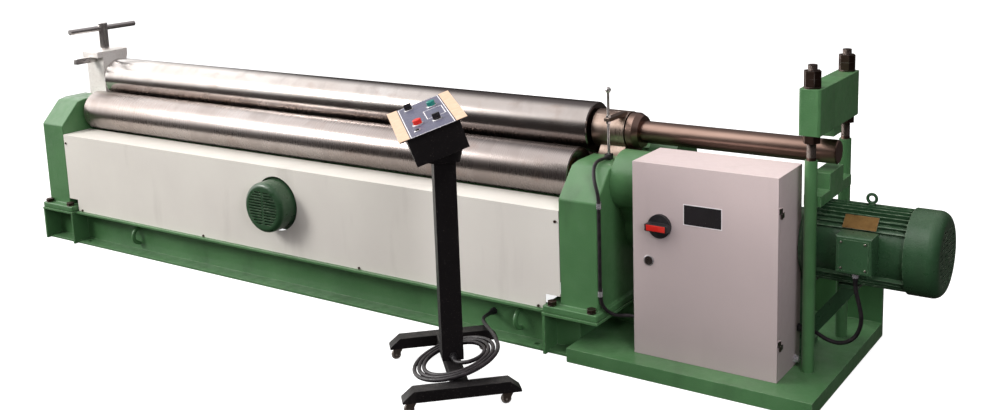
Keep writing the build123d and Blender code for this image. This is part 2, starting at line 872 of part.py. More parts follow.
# Lift drive: worm wheels that turn as nuts, a cross shaft and the lift motor
def worm_wheel(side):
    """A toothed nut on the lift screw."""
    x = side * housing_mid
    face = worm_wheel_face / 2
    low, high = lift_case_top + slide_clearance, cavity_roof - slide_clearance
    hub = rod_along_z(worm_wheel_hub_diameter, low, high, x, 0)
    wheel = hub + rod_along_z(worm_wheel_diameter, worm_height - face, worm_height + face, x, 0)
    depth = math.pi * worm_wheel_diameter / worm_wheel_teeth / 2
    notch = Box(depth, depth * 0.9, worm_wheel_face + 2)
    rim = worm_wheel_diameter / 2
    for i in range(worm_wheel_teeth):
        wheel -= Pos(x, 0, worm_height) * Rot(0, 0, i * 360 / worm_wheel_teeth) * Pos(rim, 0, 0) * notch
    return wheel - rod_along_z(lift_screw_diameter + 2 * slide_clearance, cavity_floor, cavity_roof, x, 0)


def worm_case(side):
    """The bearing block under a worm wheel, with two ears for the cross shaft."""
    x = side * housing_mid
    half = min(housing_thickness / 2 - cavity_wall, worm_length / 2 + case_ear_thickness + 8)
    wide = cavity_width / 2
    case = block(x - half, x + half, -wide, wide, cavity_floor, lift_case_top)
    for end in (-1, 1):
        e0, e1 = sorted((x + end * half, x + end * (half - case_ear_thickness)))
        case += block(e0, e1, -wide, worm_y + worm_diameter * 0.6, lift_case_top, worm_height + worm_diameter)
    case -= rod_along_z(lift_screw_diameter + 4, cavity_floor - 1, lift_case_top + 1, x, 0)
    shaft = cross_shaft_diameter + 2 * running_clearance
    return case - rod_along_x(shaft, x - half - 1, x + half + 1, worm_y, worm_height)


def cross_shaft():
    """The shaft that turns both worms together, with the wheel that the lift motor drives."""
    shaft = rod_along_x(cross_shaft_diameter, -cross_shaft_half, cross_shaft_half, worm_y, worm_height)
    for side in (-1, 1):
        x = side * housing_mid
        shaft += rod_along_x(worm_diameter, x - worm_length / 2, x + worm_length / 2, worm_y, worm_height)
    wheel = lift_motor_height - worm_height - worm_diameter / 2
    half = lift_wheel_face / 2
    return shaft + rod_along_x(2 * wheel, lift_motor_x - half, lift_motor_x + half, worm_y, worm_height)


def lift_box_limits():
    """The outside corners of the lift gearbox."""
    half = lift_box_width / 2
    back = worm_y + lift_box_depth * 0.4
    low = lift_motor_height + lift_motor_diameter / 3 - lift_box_height
    return lift_motor_x - half, lift_motor_x + half, back - lift_box_depth, back, low, low + lift_box_height


def lift_gearbox():
    """The box round the middle of the cross shaft, on a pedestal from the base."""
    x0, x1, y0, y1, z0, z1 = lift_box_limits()
    wall = lift_box_wall
    box = block(x0, x1, y0, y1, z0, z1)
    box -= block(x0 + wall, x1 - wall, y0 + wall, y1 - wall, z0 + wall, z1 - wall)
    box += block(x0 + wall, x1 - wall, y0 + wall, y1 - wall, base_height, z0)
    bore = cross_shaft_diameter + 2 * running_clearance
    return box - rod_along_x(bore, x0 - 1, x1 + 1, worm_y, worm_height)


def lift_motor():
    """The round motor body in front of the lift gearbox."""
    front = housing_front - lift_cowl_reach + lift_cowl_length
    box_front = lift_box_limits()[2]
    body = rod_along_y(lift_motor_diameter, front, box_front, lift_motor_x, lift_motor_height)
    seat = lift_cowl_diameter - 2 * lift_cowl_wall - 2 * press_clearance
    return body + rod_along_y(seat, front - lift_cowl_seat, front, lift_motor_x, lift_motor_height)


def lift_motor_cowl():
    """The domed cowl that comes out through the front cover, with a slotted face."""
    front = housing_front - lift_cowl_reach
    back = front + lift_cowl_length
    x, z = lift_motor_x, lift_motor_height
    cowl = rod_along_y(lift_cowl_diameter, front, back, x, z)
    cowl = fillet(cowl.edges().sort_by(Axis.Y)[0], lift_cowl_round)
    inside = rod_along_y(lift_cowl_diameter - 2 * lift_cowl_wall, front + lift_cowl_wall, back + 1, x, z)
    cowl -= fillet(inside.edges().sort_by(Axis.Y)[0], lift_cowl_round - lift_cowl_wall)
    pitch = 2 * grille_radius / (grille_slots + 1)
    for i in range(grille_slots):
        h = (i - (grille_slots - 1) / 2) * pitch
        half = math.sqrt(grille_radius**2 - h**2)
        for s0, s1 in ((-half, -grille_bar / 2), (grille_bar / 2, half)):
            cowl -= block(
                x + s0, x + s1, front - 1, front + lift_cowl_wall + 1,
                z + h - grille_slot_height / 2, z + h + grille_slot_height / 2,
            )
    return cowl


save("right_worm_wheel", worm_wheel(1))
save("left_worm_wheel", worm_wheel(-1))
save("cross_shaft", cross_shaft())
save("lift_gear_cases", lift_gearbox(), lift_motor(), worm_case(-1), worm_case(1))
save("lift_motor_cowl", lift_motor_cowl())


# Roll drive: two roll gears in mesh with one drive gear
def gear(teeth, tooth_angle, y, z, bore):
    """An involute gear in the YZ plane with a tooth centred at tooth_angle degrees."""
    pitch = gear_module * teeth / 2
    base = pitch * math.cos(math.radians(pressure_angle))
    tip = pitch + gear_module
    root = pitch - 1.25 * gear_module
    flank_start = max(root, base)
    involute = math.tan(math.radians(pressure_angle)) - math.radians(pressure_angle)
    half_tooth = math.pi / (2 * teeth) - gear_backlash / (4 * pitch) + involute
    steps = 4
    radii = [flank_start + (tip - flank_start) * i / steps for i in range(steps + 1)]
    flank = []
    for r in radii:
        roll = math.acos(min(1.0, base / r))
        flank.append((r, half_tooth - (math.tan(roll) - roll)))
    flank.insert(0, (root, flank[0][1] + 0.02))
    points = []
    for i in range(teeth):
        middle = math.radians(tooth_angle) + 2 * math.pi * i / teeth
        for r, a in flank:
            points.append((r * math.cos(middle - a), r * math.sin(middle - a)))
        for r, a in reversed(flank):
            points.append((r * math.cos(middle + a), r * math.sin(middle + a)))
    solid = across([(y + py, z + pz) for py, pz in points], gear_start, gear_end)
    return solid - rod_along_x(bore, gear_start - 1, gear_end + 1, y, z)


def meshed_angle(y):
    """The tooth angle of a roll gear at y that meshes with the drive gear."""
    line = math.degrees(math.atan2(lower_roll_height - drive_height, y))
    pitch = 360 / drive_gear_teeth
    front_line = math.degrees(math.atan2(lower_roll_height - drive_height, -half_spacing))
    ahead = (front_line - line) % pitch
    gap = line + 180 - ahead * drive_gear_radius / roll_gear_radius
    return gap + 180 / roll_gear_teeth


def roll_gear(y):
    """A gear on the long journal of a lower roll."""
    bore = lower_journal_diameter + 2 * press_clearance
    return gear(roll_gear_teeth, meshed_angle(y), y, lower_roll_height, bore)


def drive_gear():
    """The gear on the reducer's slow shaft, which drives both rolls."""
    line = math.degrees(math.atan2(lower_roll_height - drive_height, -half_spacing))
    wheel = gear(drive_gear_teeth, line, 0, drive_height, drive_shaft_diameter - 1)
    near, far = gear_start - gear_shaft_end, reducer_start + drive_shaft_reach
    return wheel + rod_along_x(drive_shaft_diameter, near, far, 0, drive_height)


def guard_outline(margin):
    """The guard's outline in the YZ plane: three rounds and the web between them."""
    small = roll_gear_radius + gear_module + margin
    large = drive_gear_radius + gear_module + margin
    plane = Plane((housing_outer, 0, 0), x_dir=(0, 1, 0), z_dir=(1, 0, 0))
    sketch = Pos(0, drive_height) * Circle(large)
    for y in (-half_spacing, half_spacing):
        sketch += Pos(y, lower_roll_height) * Circle(small)
    side = half_spacing + small
    waist = (lower_roll_height + drive_height) / 2
    sketch += make_face(Polyline(
        [(-side, lower_roll_height), (-large, drive_height), (large, drive_height), (side, lower_roll_height),
         (half_spacing, lower_roll_height + small * 0.2), (0, waist + small * 0.8),
         (-half_spacing, lower_roll_height + small * 0.2)],
        close=True,
    ))
    return plane * sketch


def gear_guard():
    """A deep sheet cover over the gears, open towards the housing."""
    shell = extrude(guard_outline(guard_margin + guard_sheet), guard_depth, dir=(1, 0, 0))
    shell -= extrude(guard_outline(guard_margin), guard_depth - guard_sheet, dir=(1, 0, 0))
    hole = drive_shaft_diameter + 2 * guard_margin
    return shell - rod_along_x(hole, guard_end - guard_sheet - 1, guard_end + 1, 0, drive_height)


def reducer():
    """The planetary reducer on its pedestal, with a sloping strut under the motor."""
    r = reducer_diameter / 2
    flange = motor_flange_diameter / 2
    x0, x1 = reducer_start, reducer_end
    neck_end = x0 + reducer_neck_length
    g0, g1 = x0 + reducer_groove_start, x0 + reducer_groove_end
    lip = x1 - reducer_flange
    groove = r * reducer_groove_ratio
    neck = r * reducer_neck_ratio
    body = turned(
        [(x0, neck), (neck_end, neck), (neck_end, r), (g0, r), (g0, groove), (g1, groove), (g1, r),
         (lip, r), (lip, flange), (x1, flange)],
        0, drive_height,
    )
    half = pedestal_width / 2
    back, front = x0 + pedestal_start, x1 - pedestal_end
    foot_top = platform_height + pedestal_foot_height
    rim = pedestal_foot_rim
    body += block(back, front, -half, half, platform_height, drive_height)
    body += block(back - rim, front + rim, -half - rim, half + rim, platform_height, foot_top)
    body += motor_strut(front, foot_top)
    socket = drive_shaft_diameter + 2 * running_clearance
    body -= rod_along_x(socket, x0 - 1, x0 + drive_shaft_reach + journal_end_gap, 0, drive_height)
    coupling = motor_shaft_diameter + 2 * rotor_gap
    return body - rod_along_x(coupling, x1 - reducer_socket, x1 + 1, 0, drive_height)


def motor_strut(x, foot):
    """The sloping strut from the pedestal foot to a seat just under the motor fins."""
    seat_top = drive_height - motor_fin_diameter / 2 - skin_gap
    low = drive_height - motor_flange_diameter / 2 - 3
    end = x + strut_reach
    width = strut_depth * (end - x) / (low - foot)
    half = strut_thickness / 2
    strut = along_y(
        [(x - 1, foot), (x + 1, foot), (end, low), (end - width, low), (x - 1, foot + strut_depth)],
        -half, half,
    )
    wide = strut_seat_width / 2
    return strut + block(end - strut_seat_length, end, -wide, wide, low, seat_top)


save("front_roll_gear", roll_gear(-half_spacing))
save("back_roll_gear", roll_gear(half_spacing))
save("drive_gear", drive_gear())
save("gear_guard", gear_guard())
save("reducer", reducer())


# Main motor
def main_motor():
    """The finned motor body with its mounting flange and bored end shields."""
    x0 = reducer_end
    plane = Plane((motor_start, 0, drive_height), x_dir=(0, 1, 0), z_dir=(1, 0, 0))
    core = motor_core_diameter / 2
    section = Circle(core)
    fin = motor_fin_diameter / 2
    half_box = math.degrees(math.asin(min(0.9, (terminal_height / 2 + 6) / fin)))
    for i in range(motor_fins):
        angle = 360 * (i + 0.5) / motor_fins
        if abs(angle - 180) < half_box:
            continue
        blade = Rectangle(fin - core + motor_fin_root, motor_fin_thickness)
        section += Rot(0, 0, angle) * Pos((core + fin - motor_fin_root) / 2, 0) * blade
    body = extrude(plane * section, motor_length, dir=(1, 0, 0))
    body += rod_along_x(motor_flange_diameter, x0, motor_start, 0, drive_height)
    ring = motor_core_diameter + motor_shield_rim
    body += rod_along_x(ring, motor_start, motor_start + motor_shield, 0, drive_height)
    body += rod_along_x(ring, motor_end - motor_shield, motor_end + motor_shield_rim, 0, drive_height)
    box_start = motor_start + terminal_offset
    inset = terminal_round
    body += block(
        box_start + inset, box_start + terminal_width - inset, terminal_back, -core + motor_shield,
        terminal_bottom + inset, terminal_bottom + terminal_height - inset,
    )
    bore = motor_bore_diameter
    body -= rod_along_x(bore, motor_start + motor_shield, motor_end - motor_shield, 0, drive_height)
    shaft = motor_shaft_diameter + 2 * running_clearance
    return body - rod_along_x(shaft, x0 - 1, motor_end + motor_shield_rim + 1, 0, drive_height)


def fan_cowl():
    """The sheet cowl over the fan, with slots in its round end."""
    x0 = motor_end - motor_shield
    outer = cowl_diameter / 2
    cowl = rod_along_x(cowl_diameter, x0, cowl_end, 0, drive_height)
    cowl = fillet(cowl.edges().sort_by(Axis.X)[-1], cowl_round)
    inside = rod_along_x(cowl_diameter - 2 * cowl_wall, x0 - 1, cowl_end - cowl_wall, 0, drive_height)
    cowl -= fillet(inside.edges().sort_by(Axis.X)[-1], cowl_round - cowl_wall)
    ring = rod_along_x(cowl_diameter - cowl_wall, x0, x0 + motor_shield, 0, drive_height)
    seat = motor_fin_diameter + 2 * press_clearance
    cowl += ring - rod_along_x(seat, x0 - 1, x0 + motor_shield + 1, 0, drive_height)
    reach = outer - cowl_round - grille_bar / 2
    pitch = 2 * reach / (grille_slots + 1)
    for i in range(grille_slots):
        h = (i - (grille_slots - 1) / 2) * pitch
        half = math.sqrt(reach**2 - h**2)
        for s0, s1 in ((-half, -grille_bar / 2), (grille_bar / 2, half)):
            cowl -= block(
                cowl_end - cowl_wall - 1, cowl_end + 1, s0, s1,
                drive_height + h - grille_slot_height / 2, drive_height + h + grille_slot_height / 2,
            )
    return cowl


def motor_rotor():
    """The motor shaft with its rotor core and the cooling fan."""
    fan_x = motor_end + motor_shield_rim + fan_gap
    fan_end = fan_x + fan_blade_length
    rotor = rod_along_x(motor_shaft_diameter, reducer_end - rotor_tail, fan_end, 0, drive_height)
    middle = (motor_start + motor_end) / 2
    core = motor_bore_diameter - 2 * rotor_gap
    rotor += rod_along_x(core, middle - rotor_length / 2, middle + rotor_length / 2, 0, drive_height)
    rotor += rod_along_x(fan_diameter, fan_x, fan_x + fan_disc, 0, drive_height)
    for i in range(fan_blades):
        blade = Pos(0, 0, fan_diameter / 4) * Box(fan_blade_length, fan_blade_thickness, fan_diameter / 2)
        rotor += Pos((fan_x + fan_end) / 2, 0, drive_height) * Rot(360 * i / fan_blades, 0, 0) * blade
    return rotor


def terminal_box():
    """The terminal box on the front of the motor."""
    x0 = motor_start + terminal_offset
    z0 = terminal_bottom
    back = terminal_back
    box = block(x0, x0 + terminal_width, -terminal_front, back, z0, z0 + terminal_height)
    box = fillet(box.faces().sort_by(Axis.Y)[0].edges(), terminal_round)
    wall = terminal_wall
    return box - block(
        x0 + wall, x0 + terminal_width - wall, -terminal_front + wall, back - wall,
        z0 + wall, z0 + terminal_height - wall,
    )


def eye_bolt():
    """The lifting eye on top of the motor."""
    x = motor_start + motor_length * eye_place
    seat = drive_height + motor_fin_diameter / 2
    foot_top = seat + eye_rod_radius
    foot = rod_along_z(eye_foot_diameter, drive_height + motor_core_diameter / 2 - 1, foot_top, x, 0)
    middle = foot_top + eye_ring_radius + eye_rod_radius / 2
    return foot + Pos(x, 0, middle) * Rot(90, 0, 0) * Torus(eye_ring_radius, eye_rod_radius)


save("main_motor", main_motor() + eye_bolt())
save("fan_cowl", fan_cowl())
save("motor_rotor", motor_rotor())
save("terminal_box", terminal_box())


# Hold-down over the tail: posts, studs, beam and the stand under the tail
def post_tube(y):
    """A tube post on the platform, bored for its stud."""
    tube = rod_along_z(post_diameter, platform_height, post_top, post_x, y)
    bore = stud_diameter + 2 * press_clearance
    return tube - rod_along_z(bore, post_top - stud_depth, post_top + 1, post_x, y)


def post_stud(y):
    """A threaded stud out of a post and through the beam."""
    return rod_along_z(stud_diameter, post_top - stud_depth, beam_top + stud_rise, post_x, y)


def hold_down_beam():
    """The cross beam with a pad over the tail."""
    half = beam_width / 2
    beam = block(post_x - half, post_x + half, -beam_length / 2, beam_length / 2, beam_bottom, beam_top)
    beam = chamfer(beam.edges().filter_by(Axis.Z), beam_chamfer)
    pad_bottom = top_roll_height + tail_radius + lift_travel + pad_gap
    inner = half - beam_chamfer
    beam += block(post_x - inner, post_x + inner, -pad_width / 2, pad_width / 2, pad_bottom, beam_bottom)
    for y in post_places():
        beam -= rod_along_z(stud_diameter + bolt_clearance, beam_bottom - 1, beam_top + 1, post_x, y)
    return beam


def post_places():
    """The two post positions along Y."""
    return (-post_spacing / 2, post_spacing / 2)


def post_nut(y, z):
    """A hexagon nut on a stud."""
    nut = Pos(post_x, y, z) * hexagon(nut_flats, nut_height)
    return nut - rod_along_z(stud_diameter + 2 * press_clearance, z - 1, z + nut_height + 1, post_x, y)


def post_washer(y, z):
    """A flat washer on a stud."""
    washer = rod_along_z(nut_flats * 1.12, z, z + washer_thickness, post_x, y)
    hole = stud_diameter + 2 * press_clearance
    return washer - rod_along_z(hole, z - 1, z + washer_thickness + 1, post_x, y)


def stud_hardware(y):
    """The nuts and washer of one stud, from below the beam to the top."""
    above = beam_top + washer_thickness
    return [
        post_nut(y, beam_bottom - nut_height), post_washer(y, beam_top),
        post_nut(y, above), post_nut(y, above + nut_height),
    ]


def tail_stand():
    """The bridge between the posts with a block under the tail."""
    half_gap = post_spacing / 2 - stud_diameter / 2 - 1
    low = drive_height + motor_flange_diameter / 2 + stand_bridge_gap
    high = low + stand_bridge_height
    half = post_diameter / 2 + stand_rim
    stand = block(post_x - half, post_x + half, -half_gap, half_gap, low, high)
    top = top_roll_height - tail_radius - lift_travel - pad_gap
    return stand + block(post_x - half, post_x + half, -stand_width / 2, stand_width / 2, high, top)


front_post, back_post = [post_tube(y) for y in post_places()]
save("tail_posts", tail_stand() + front_post + back_post)
save("post_studs", *[post_stud(y) for y in post_places()])
save("hold_down_beam", hold_down_beam())


# Electrical cabinet
def cabinet_body():
    """A sheet box open at the front, with hinge eyes on its right side."""
    sheet = cabinet_sheet
    top = cabinet_floor + cabinet_height
    box = block(cabinet_left, cabinet_right, cabinet_mouth, cabinet_back, cabinet_floor, top)
    box -= block(
        cabinet_left + sheet, cabinet_right - sheet, cabinet_mouth - 1, cabinet_back - sheet,
        cabinet_floor + sheet, top - sheet,
    )
    for low in (hinge_low, hinge_high):
        z = cabinet_floor + low
        end = z + hinge_height / 2
        x, y = hinge_axis()
        box += block(cabinet_right, x, y, y + hinge_leaf, z, end)
        box += rod_along_z(2 * (hinge_radius - slide_clearance), z, end, x, y)
    return box


def hinge_axis():
    """The vertical hinge line of the cabinet door."""
    return cabinet_right + hinge_radius, cabinet_mouth


def cabinet_door():
    """A folded sheet tray with the upper hinge eyes, holed for its fittings."""
    front = -cabinet_front
    back = front + door_depth
    low, high = cabinet_floor, cabinet_floor + cabinet_height
    sheet = cabinet_sheet
    door = block(cabinet_left, cabinet_right, front, back, low, high)
    door -= block(
        cabinet_left + sheet, cabinet_right - sheet, front + sheet, back + 1, low + sheet, high - sheet
    )
    x, y = hinge_axis()
    for rise in (hinge_low, hinge_high):
        z = cabinet_floor + rise + hinge_height / 2 + slide_clearance
        end = cabinet_floor + rise + hinge_height
        door += rod_along_z(2 * hinge_radius, z, end, x, y)
        door += block(cabinet_right, cabinet_right + hinge_radius, front + 4, y, z, end)
    ix, iz = isolator_place()
    door -= rod_along_y(isolator_shaft + 2 * running_clearance, front - 1, front + sheet + 1, ix, iz)
    lx, lz = lock_place()
    lock_hole = 2 * (lock_radius - lock_rim + running_clearance)
    return door - rod_along_y(lock_hole, front - 1, front + sheet + 1, lx, lz)


def isolator_place():
    """The isolator handle's axis on the door."""
    return cabinet_left + isolator_in, cabinet_floor + isolator_up


def lock_place():
    """The lock's axis on the door."""
    return cabinet_left + lock_in, cabinet_floor + lock_up


def isolator_handle():
    """A round handle with a raised grip, on a short shaft through the door."""
    x, z = isolator_place()
    front = -cabinet_front - skin_gap
    handle = rod_along_y(2 * isolator_radius, front - isolator_thickness, front, x, z)
    grip = block(
        x - isolator_radius, x + isolator_radius,
        front - isolator_thickness - isolator_grip_height, front - isolator_thickness,
        z - isolator_grip_width / 2, z + isolator_grip_width / 2,
    )
    handle += fillet(grip.edges().filter_by(Axis.Y), 6)
    return handle + rod_along_y(isolator_shaft, front, -cabinet_front + isolator_shaft_reach, x, z)


def door_lock():
    """A quarter-turn lock with its tongue behind the door sheet."""
    x, z = lock_place()
    front = -cabinet_front
    back = front + door_depth - cabinet_sheet
    slot = lock_radius * 0.6
    lock = rod_along_y(2 * lock_radius, front - lock_head, front - slide_clearance, x, z)
    lock -= block(x - lock_rim, x + lock_rim, front - lock_head - 1, front - lock_rim, z - slot, z + slot)
    lock += rod_along_y(2 * (lock_radius - lock_rim), front - slide_clearance, back, x, z)
    return lock + block(x - lock_radius, x + lock_radius, back - cabinet_sheet, back, z, z + lock_tongue)


def mounting_plate():
    """The plate inside the cabinet, on four stand-offs from the back."""
    x0, x1 = cabinet_left + plate_inset, cabinet_right - plate_inset
    z0, z1 = cabinet_floor + plate_inset, cabinet_floor + cabinet_height - plate_inset
    back = cabinet_back - cabinet_sheet
    plate = block(x0, x1, back - plate_standoff - 3, back - plate_standoff, z0, z1)
    for x in (x0 + 20, x1 - 20):
        for z in (z0 + 20, z1 - 20):
            plate += rod_along_y(14, back - plate_standoff, back, x, z)
    return plate


save("cabinet_body", cabinet_body(), mounting_plate())
save("cabinet_door", cabinet_door())
save("isolator_handle", isolator_handle())
save("door_lock", door_lock())


# Limit switch on the right housing, its conduit and clips
def limit_switch():
    """The switch body on the housing, open on top for the rod."""
    half = switch_width / 2
    top = housing_top + switch_height
    body = block(rod_x - half, rod_x + half, rod_y - half, rod_y + half, housing_top, top)
    return body - rod_along_z(rod_diameter + rod_play, housing_top + skin_gap, top + 1, rod_x, rod_y)


def tube_on(points, diameter):
    """A round tube along straight runs joined by the largest arcs they allow."""
    radii = []
    for before, corner, after in zip(points, points[1:], points[2:]):
        a, b = Vector(*corner) - Vector(*before), Vector(*after) - Vector(*corner)
        half_turn = math.radians(a.get_angle(b)) / 2
        radii.append(0.45 * min(a.length, b.length) / math.tan(half_turn))
    path = FilletPolyline(*points, radius=radii)
    start = Plane(points[0], z_dir=Vector(*points[1]) - Vector(*points[0]))
    tube = sweep(start * Circle(diameter / 2), path=path)
    print("tube radii", [round(r) for r in radii], "length", round(path.length, 1))
    section = math.pi * diameter**2 / 4
    print("volume over section times length", round(tube.volume / (section * path.length), 4))
    return tube


def conduit_line():
    """Where the conduit runs down the outer side of the right housing."""
    return housing_outer + conduit_diameter / 2 + slide_clearance, housing_front + conduit_setback


def conduit():
    """The conduit from the switch over the shoulder, down the side of the housing and into the cabinet."""
    x, y = conduit_line()
    start = rod_y - switch_width / 2
    z = housing_top + switch_height / 2
    over = y + 133
    side_top = z - 108
    turn = foot_top + 47
    drop = (side_top - turn) / 4
    dx, dy = cabinet_left - x, cabinet_mouth + conduit_cabinet_inset - y
    level = foot_top - conduit_diameter
    points = [
        (rod_x, start, z), (rod_x, (start + over) / 2, z), (rod_x, over, z + 3),
        (rod_x + 8, y + 89, z - 7), (rod_x + 27, y + 47, z - 31), (rod_x + 51, y + 15, z - 62),
        (x, y, side_top), (x, y - 0.5, side_top - drop), (x, y, side_top - 2 * drop),
        (x, y - 0.5, side_top - 3 * drop), (x, y, turn), (x + 0.138 * dx, y + 0.18 * dy, foot_top + 7.8),
        (x + 0.376 * dx, y + 0.515 * dy, level), (x + 0.645 * dx, y + 0.89 * dy, level),
        (x + 0.818 * dx, y + dy, level), (x + dx, y + dy, level),
    ]
    return tube_on(points, conduit_diameter)


def conduit_clip(z):
    """A saddle clip over the conduit on the outer side of the housing."""
    x, y = conduit_line()
    top = z + clip_width
    clip = rod_along_z(conduit_diameter + 2 * clip_sheet, z, top, x, y)
    clip += block(housing_outer, housing_outer + clip_sheet, y, y + clip_tab, z, top)
    inside = conduit_diameter + 2 * slide_clearance + 1
    clip -= rod_along_z(inside, z - 1, top + 1, x, y)
    return clip & block(housing_outer, x + clip_tab, y - clip_tab, y + clip_tab, z - 1, top + 1)


clip_heights = (clip_low, clip_high)
save("limit_switch", limit_switch())
save("conduit", conduit())

# Bolts, screws, nuts and clips that hold the machine together
bolts = [foot_bolt(x, y) for x, y in foot_bolt_places()]
screws = [cover_screw(x, z) for x, z in cover_screw_places()]
nuts = [piece for y in post_places() for piece in stud_hardware(y)]
clips = [conduit_clip(z) for z in clip_heights]
save("fasteners", *bolts, *screws, *nuts, *clips)


# Control console, built about its own column and then set in its place
def console_leg(side):
    """A foot leg with its ends sloped."""
    half = console_leg_length / 2
    z0 = console_leg_clearance
    z1 = z0 + console_leg_height
    y = side * console_leg_spread / 2
    w = console_leg_width / 2
    return along_y(
        [(-half, z0), (half, z0), (half, z0 + 10), (half - console_leg_slope, z1),
         (-half + console_leg_slope, z1), (-half, z0 + 10)],
        y - w, y + w,
    )


def tilted(s, t):
    """A point of the console head: s up the slope of the panel, t out of it."""
    a = math.radians(console_tilt)
    x = -console_panel_setback + s * math.cos(a) - t * math.sin(a)
    return x, console_panel_height + s * math.sin(a) + t * math.cos(a)


def console_stand():
    """The wheeled foot and the square column."""
    z0, z1 = console_leg_clearance, console_leg_clearance + console_leg_height
    inner = console_leg_spread / 2
    half = console_column_side / 2
    stand = console_leg(-1) + console_leg(1)
    stand += block(-console_leg_width / 2, console_leg_width / 2, -inner, inner, z0, z1)
    stand += block(-half, half, -half, half, z1, chin_bottom())
    for x, y in castor_places():
        stand -= rod_along_z(2 * castor_stem_radius() + 2 * running_clearance, z0 - 1, z0 + 30, x, y)
    return stand


def chin_bottom():
    """Where the console head sits on the column."""
    front_edge = -console_panel_depth / 2 + console_body_overhang
    return tilted(front_edge, -console_body_depth)[1] - console_chin_drop / 2


def castor_stem_radius():
    """The radius of a castor's swivel stem."""
    return castor_fork_thickness * 1.5


def console_head():
    """The sloping box of the console with its overhanging panel."""
    s = console_panel_depth / 2 - console_body_overhang
    sheet = console_panel_sheet
    wide = console_panel_width / 2 - console_body_inset
    deep = -console_body_depth
    corners = [tilted(-s, -sheet), tilted(s, -sheet), tilted(s, deep), tilted(-s, deep)]
    head = along_y(corners, -wide, wide)
    half = console_column_side / 2
    low = chin_bottom()
    chin = [
        tilted(-s, -console_body_depth), (-half - 12, low), (half + 6, low),
        (half + 16, low + console_chin_drop * 0.7), tilted(s, -console_body_depth),
    ]
    head += along_y(chin, -wide * 0.45, wide * 0.45)
    edge = console_panel_depth / 2
    panel = [tilted(-edge, 0), tilted(edge, 0), tilted(edge, -sheet), tilted(-edge, -sheet)]
    head += along_y(panel, -console_panel_width / 2, console_panel_width / 2)
    for s, y, radius in control_places():
        head -= control_frame(s, y) * Pos(0, 0, -14) * Cylinder(radius + running_clearance, 30)
    return head


def control_frame(s, y):
    """The place of one control on the sloping panel, with Z out of it."""
    x, z = tilted(s, 0)
    return Pos(x, y, z) * Rot(0, -console_tilt, 0)


stop_place = (-40.0, -105.0)
start_place = (42.0, 105.0)
lift_selector_place = (-45.0, 190.0)
turn_selector_place = (33.0, -140.0)
lamp_place = (-53.0, -190.0)


def control_places():
    """The holes in the panel: slope place, side place and stem radius."""
    buttons = [stop_place, start_place, lift_selector_place, turn_selector_place]
    return [(s, y, button_stem_radius) for s, y in buttons]


def push_button(place):
    """A round push button with its stem, standing proud by its travel."""
    seat = button_travel + slide_clearance
    cap = Pos(0, 0, seat + button_height / 2) * Cylinder(button_radius, button_height)
    cap = fillet(cap.edges().sort_by(Axis.Z)[-1], 3)
    stem = Pos(0, 0, -7) * Cylinder(button_stem_radius, 2 * (button_travel + 7 + slide_clearance + 1))
    return console_place * control_frame(*place) * (cap + stem)


def selector(place):
    """A selector switch with a raised bar handle."""
    body = Pos(0, 0, slide_clearance + 5) * Cylinder(selector_radius, 10)
    bar = Pos(0, 0, slide_clearance + 18) * Box(2 * selector_radius, 9, 18)
    stem = Pos(0, 0, -6) * Cylinder(button_stem_radius, 14)
    return console_place * control_frame(*place) * (body + bar + stem)


def indicator_lamp():
    """A small lamp on the panel."""
    lens = Pos(0, 0, 4) * Cylinder(8, 8)
    return console_place * control_frame(*lamp_place) * fillet(lens.edges().sort_by(Axis.Z)[-1], 3)


def castor_places():
    """The four castor stems under the legs."""
    x = console_leg_length / 2 - castor_end_inset
    y = console_leg_spread / 2
    return [(-x, -y), (-x, y), (x, -y), (x, y)]


def castor_fork(x, y):
    """A swivel fork with its stem in the leg."""
    t = castor_fork_thickness
    wheel_half = castor_wheel_width / 2 + 1
    top = console_leg_clearance - skin_gap
    plate = Pos(x - castor_trail / 2, y, top - t / 2) * Box(castor_trail + 26, 2 * (wheel_half + t), t)
    fork = plate + rod_along_z(2 * castor_stem_radius(), top, top + 28, x, y)
    for side in (-1, 1):
        y0, y1 = sorted((y + side * wheel_half, y + side * (wheel_half + t)))
        fork += along_y(
            [(x - castor_trail - 9, castor_wheel_radius - 9), (x - castor_trail + 9, castor_wheel_radius - 9),
             (x + 12, top - t), (x - castor_trail - 12, top - t)],
            y0, y1,
        )
    reach = wheel_half + t + 1
    fork -= rod_along_y(castor_axle, y - reach, y + reach, x - castor_trail, castor_wheel_radius)
    return console_place * fork


def castor_wheel(x, y):
    """A castor wheel with its axle."""
    half = castor_wheel_width / 2
    axle = half + 1 + castor_fork_thickness
    x -= castor_trail
    wheel = rod_along_y(2 * castor_wheel_radius, y - half, y + half, x, castor_wheel_radius)
    wheel = fillet(wheel.edges().filter_by(GeomType.CIRCLE), 4)
    wheel += rod_along_y(castor_axle - 2 * running_clearance, y - axle, y + axle, x, castor_wheel_radius)
    return console_place * wheel


castor_names = ("front_left", "back_left", "front_right", "back_right")
save("console_stand", console_place * console_stand())
save("console_head", console_place * console_head() + indicator_lamp())
save("stop_button", push_button(stop_place))
save("start_button", push_button(start_place))
save("lift_selector", selector(lift_selector_place))
save("turn_selector", selector(turn_selector_place))
for name, place in zip(castor_names, castor_places()):
    save(f"{name}_castor_fork", castor_fork(*place))
    save(f"{name}_castor_wheel", castor_wheel(*place))


# Cables: the motor cable to the cabinet, and the console lead with its coil
def gland(x, y, z, direction):
    """A cable gland standing on a wall, pointing along direction."""
    place = Plane((x, y, z), z_dir=direction)
    body = hexagon(gland_flats, gland_length * 0.5)
    body += Pos(0, 0, gland_length * 0.75) * Cylinder(gland_flats * 0.42, gland_length * 0.5)
    return place * body


def terminal_gland_place():
    """The gland under the terminal box."""
    x = motor_start + terminal_offset + terminal_width / 2
    return x, -terminal_front + terminal_depth * 0.4, terminal_bottom


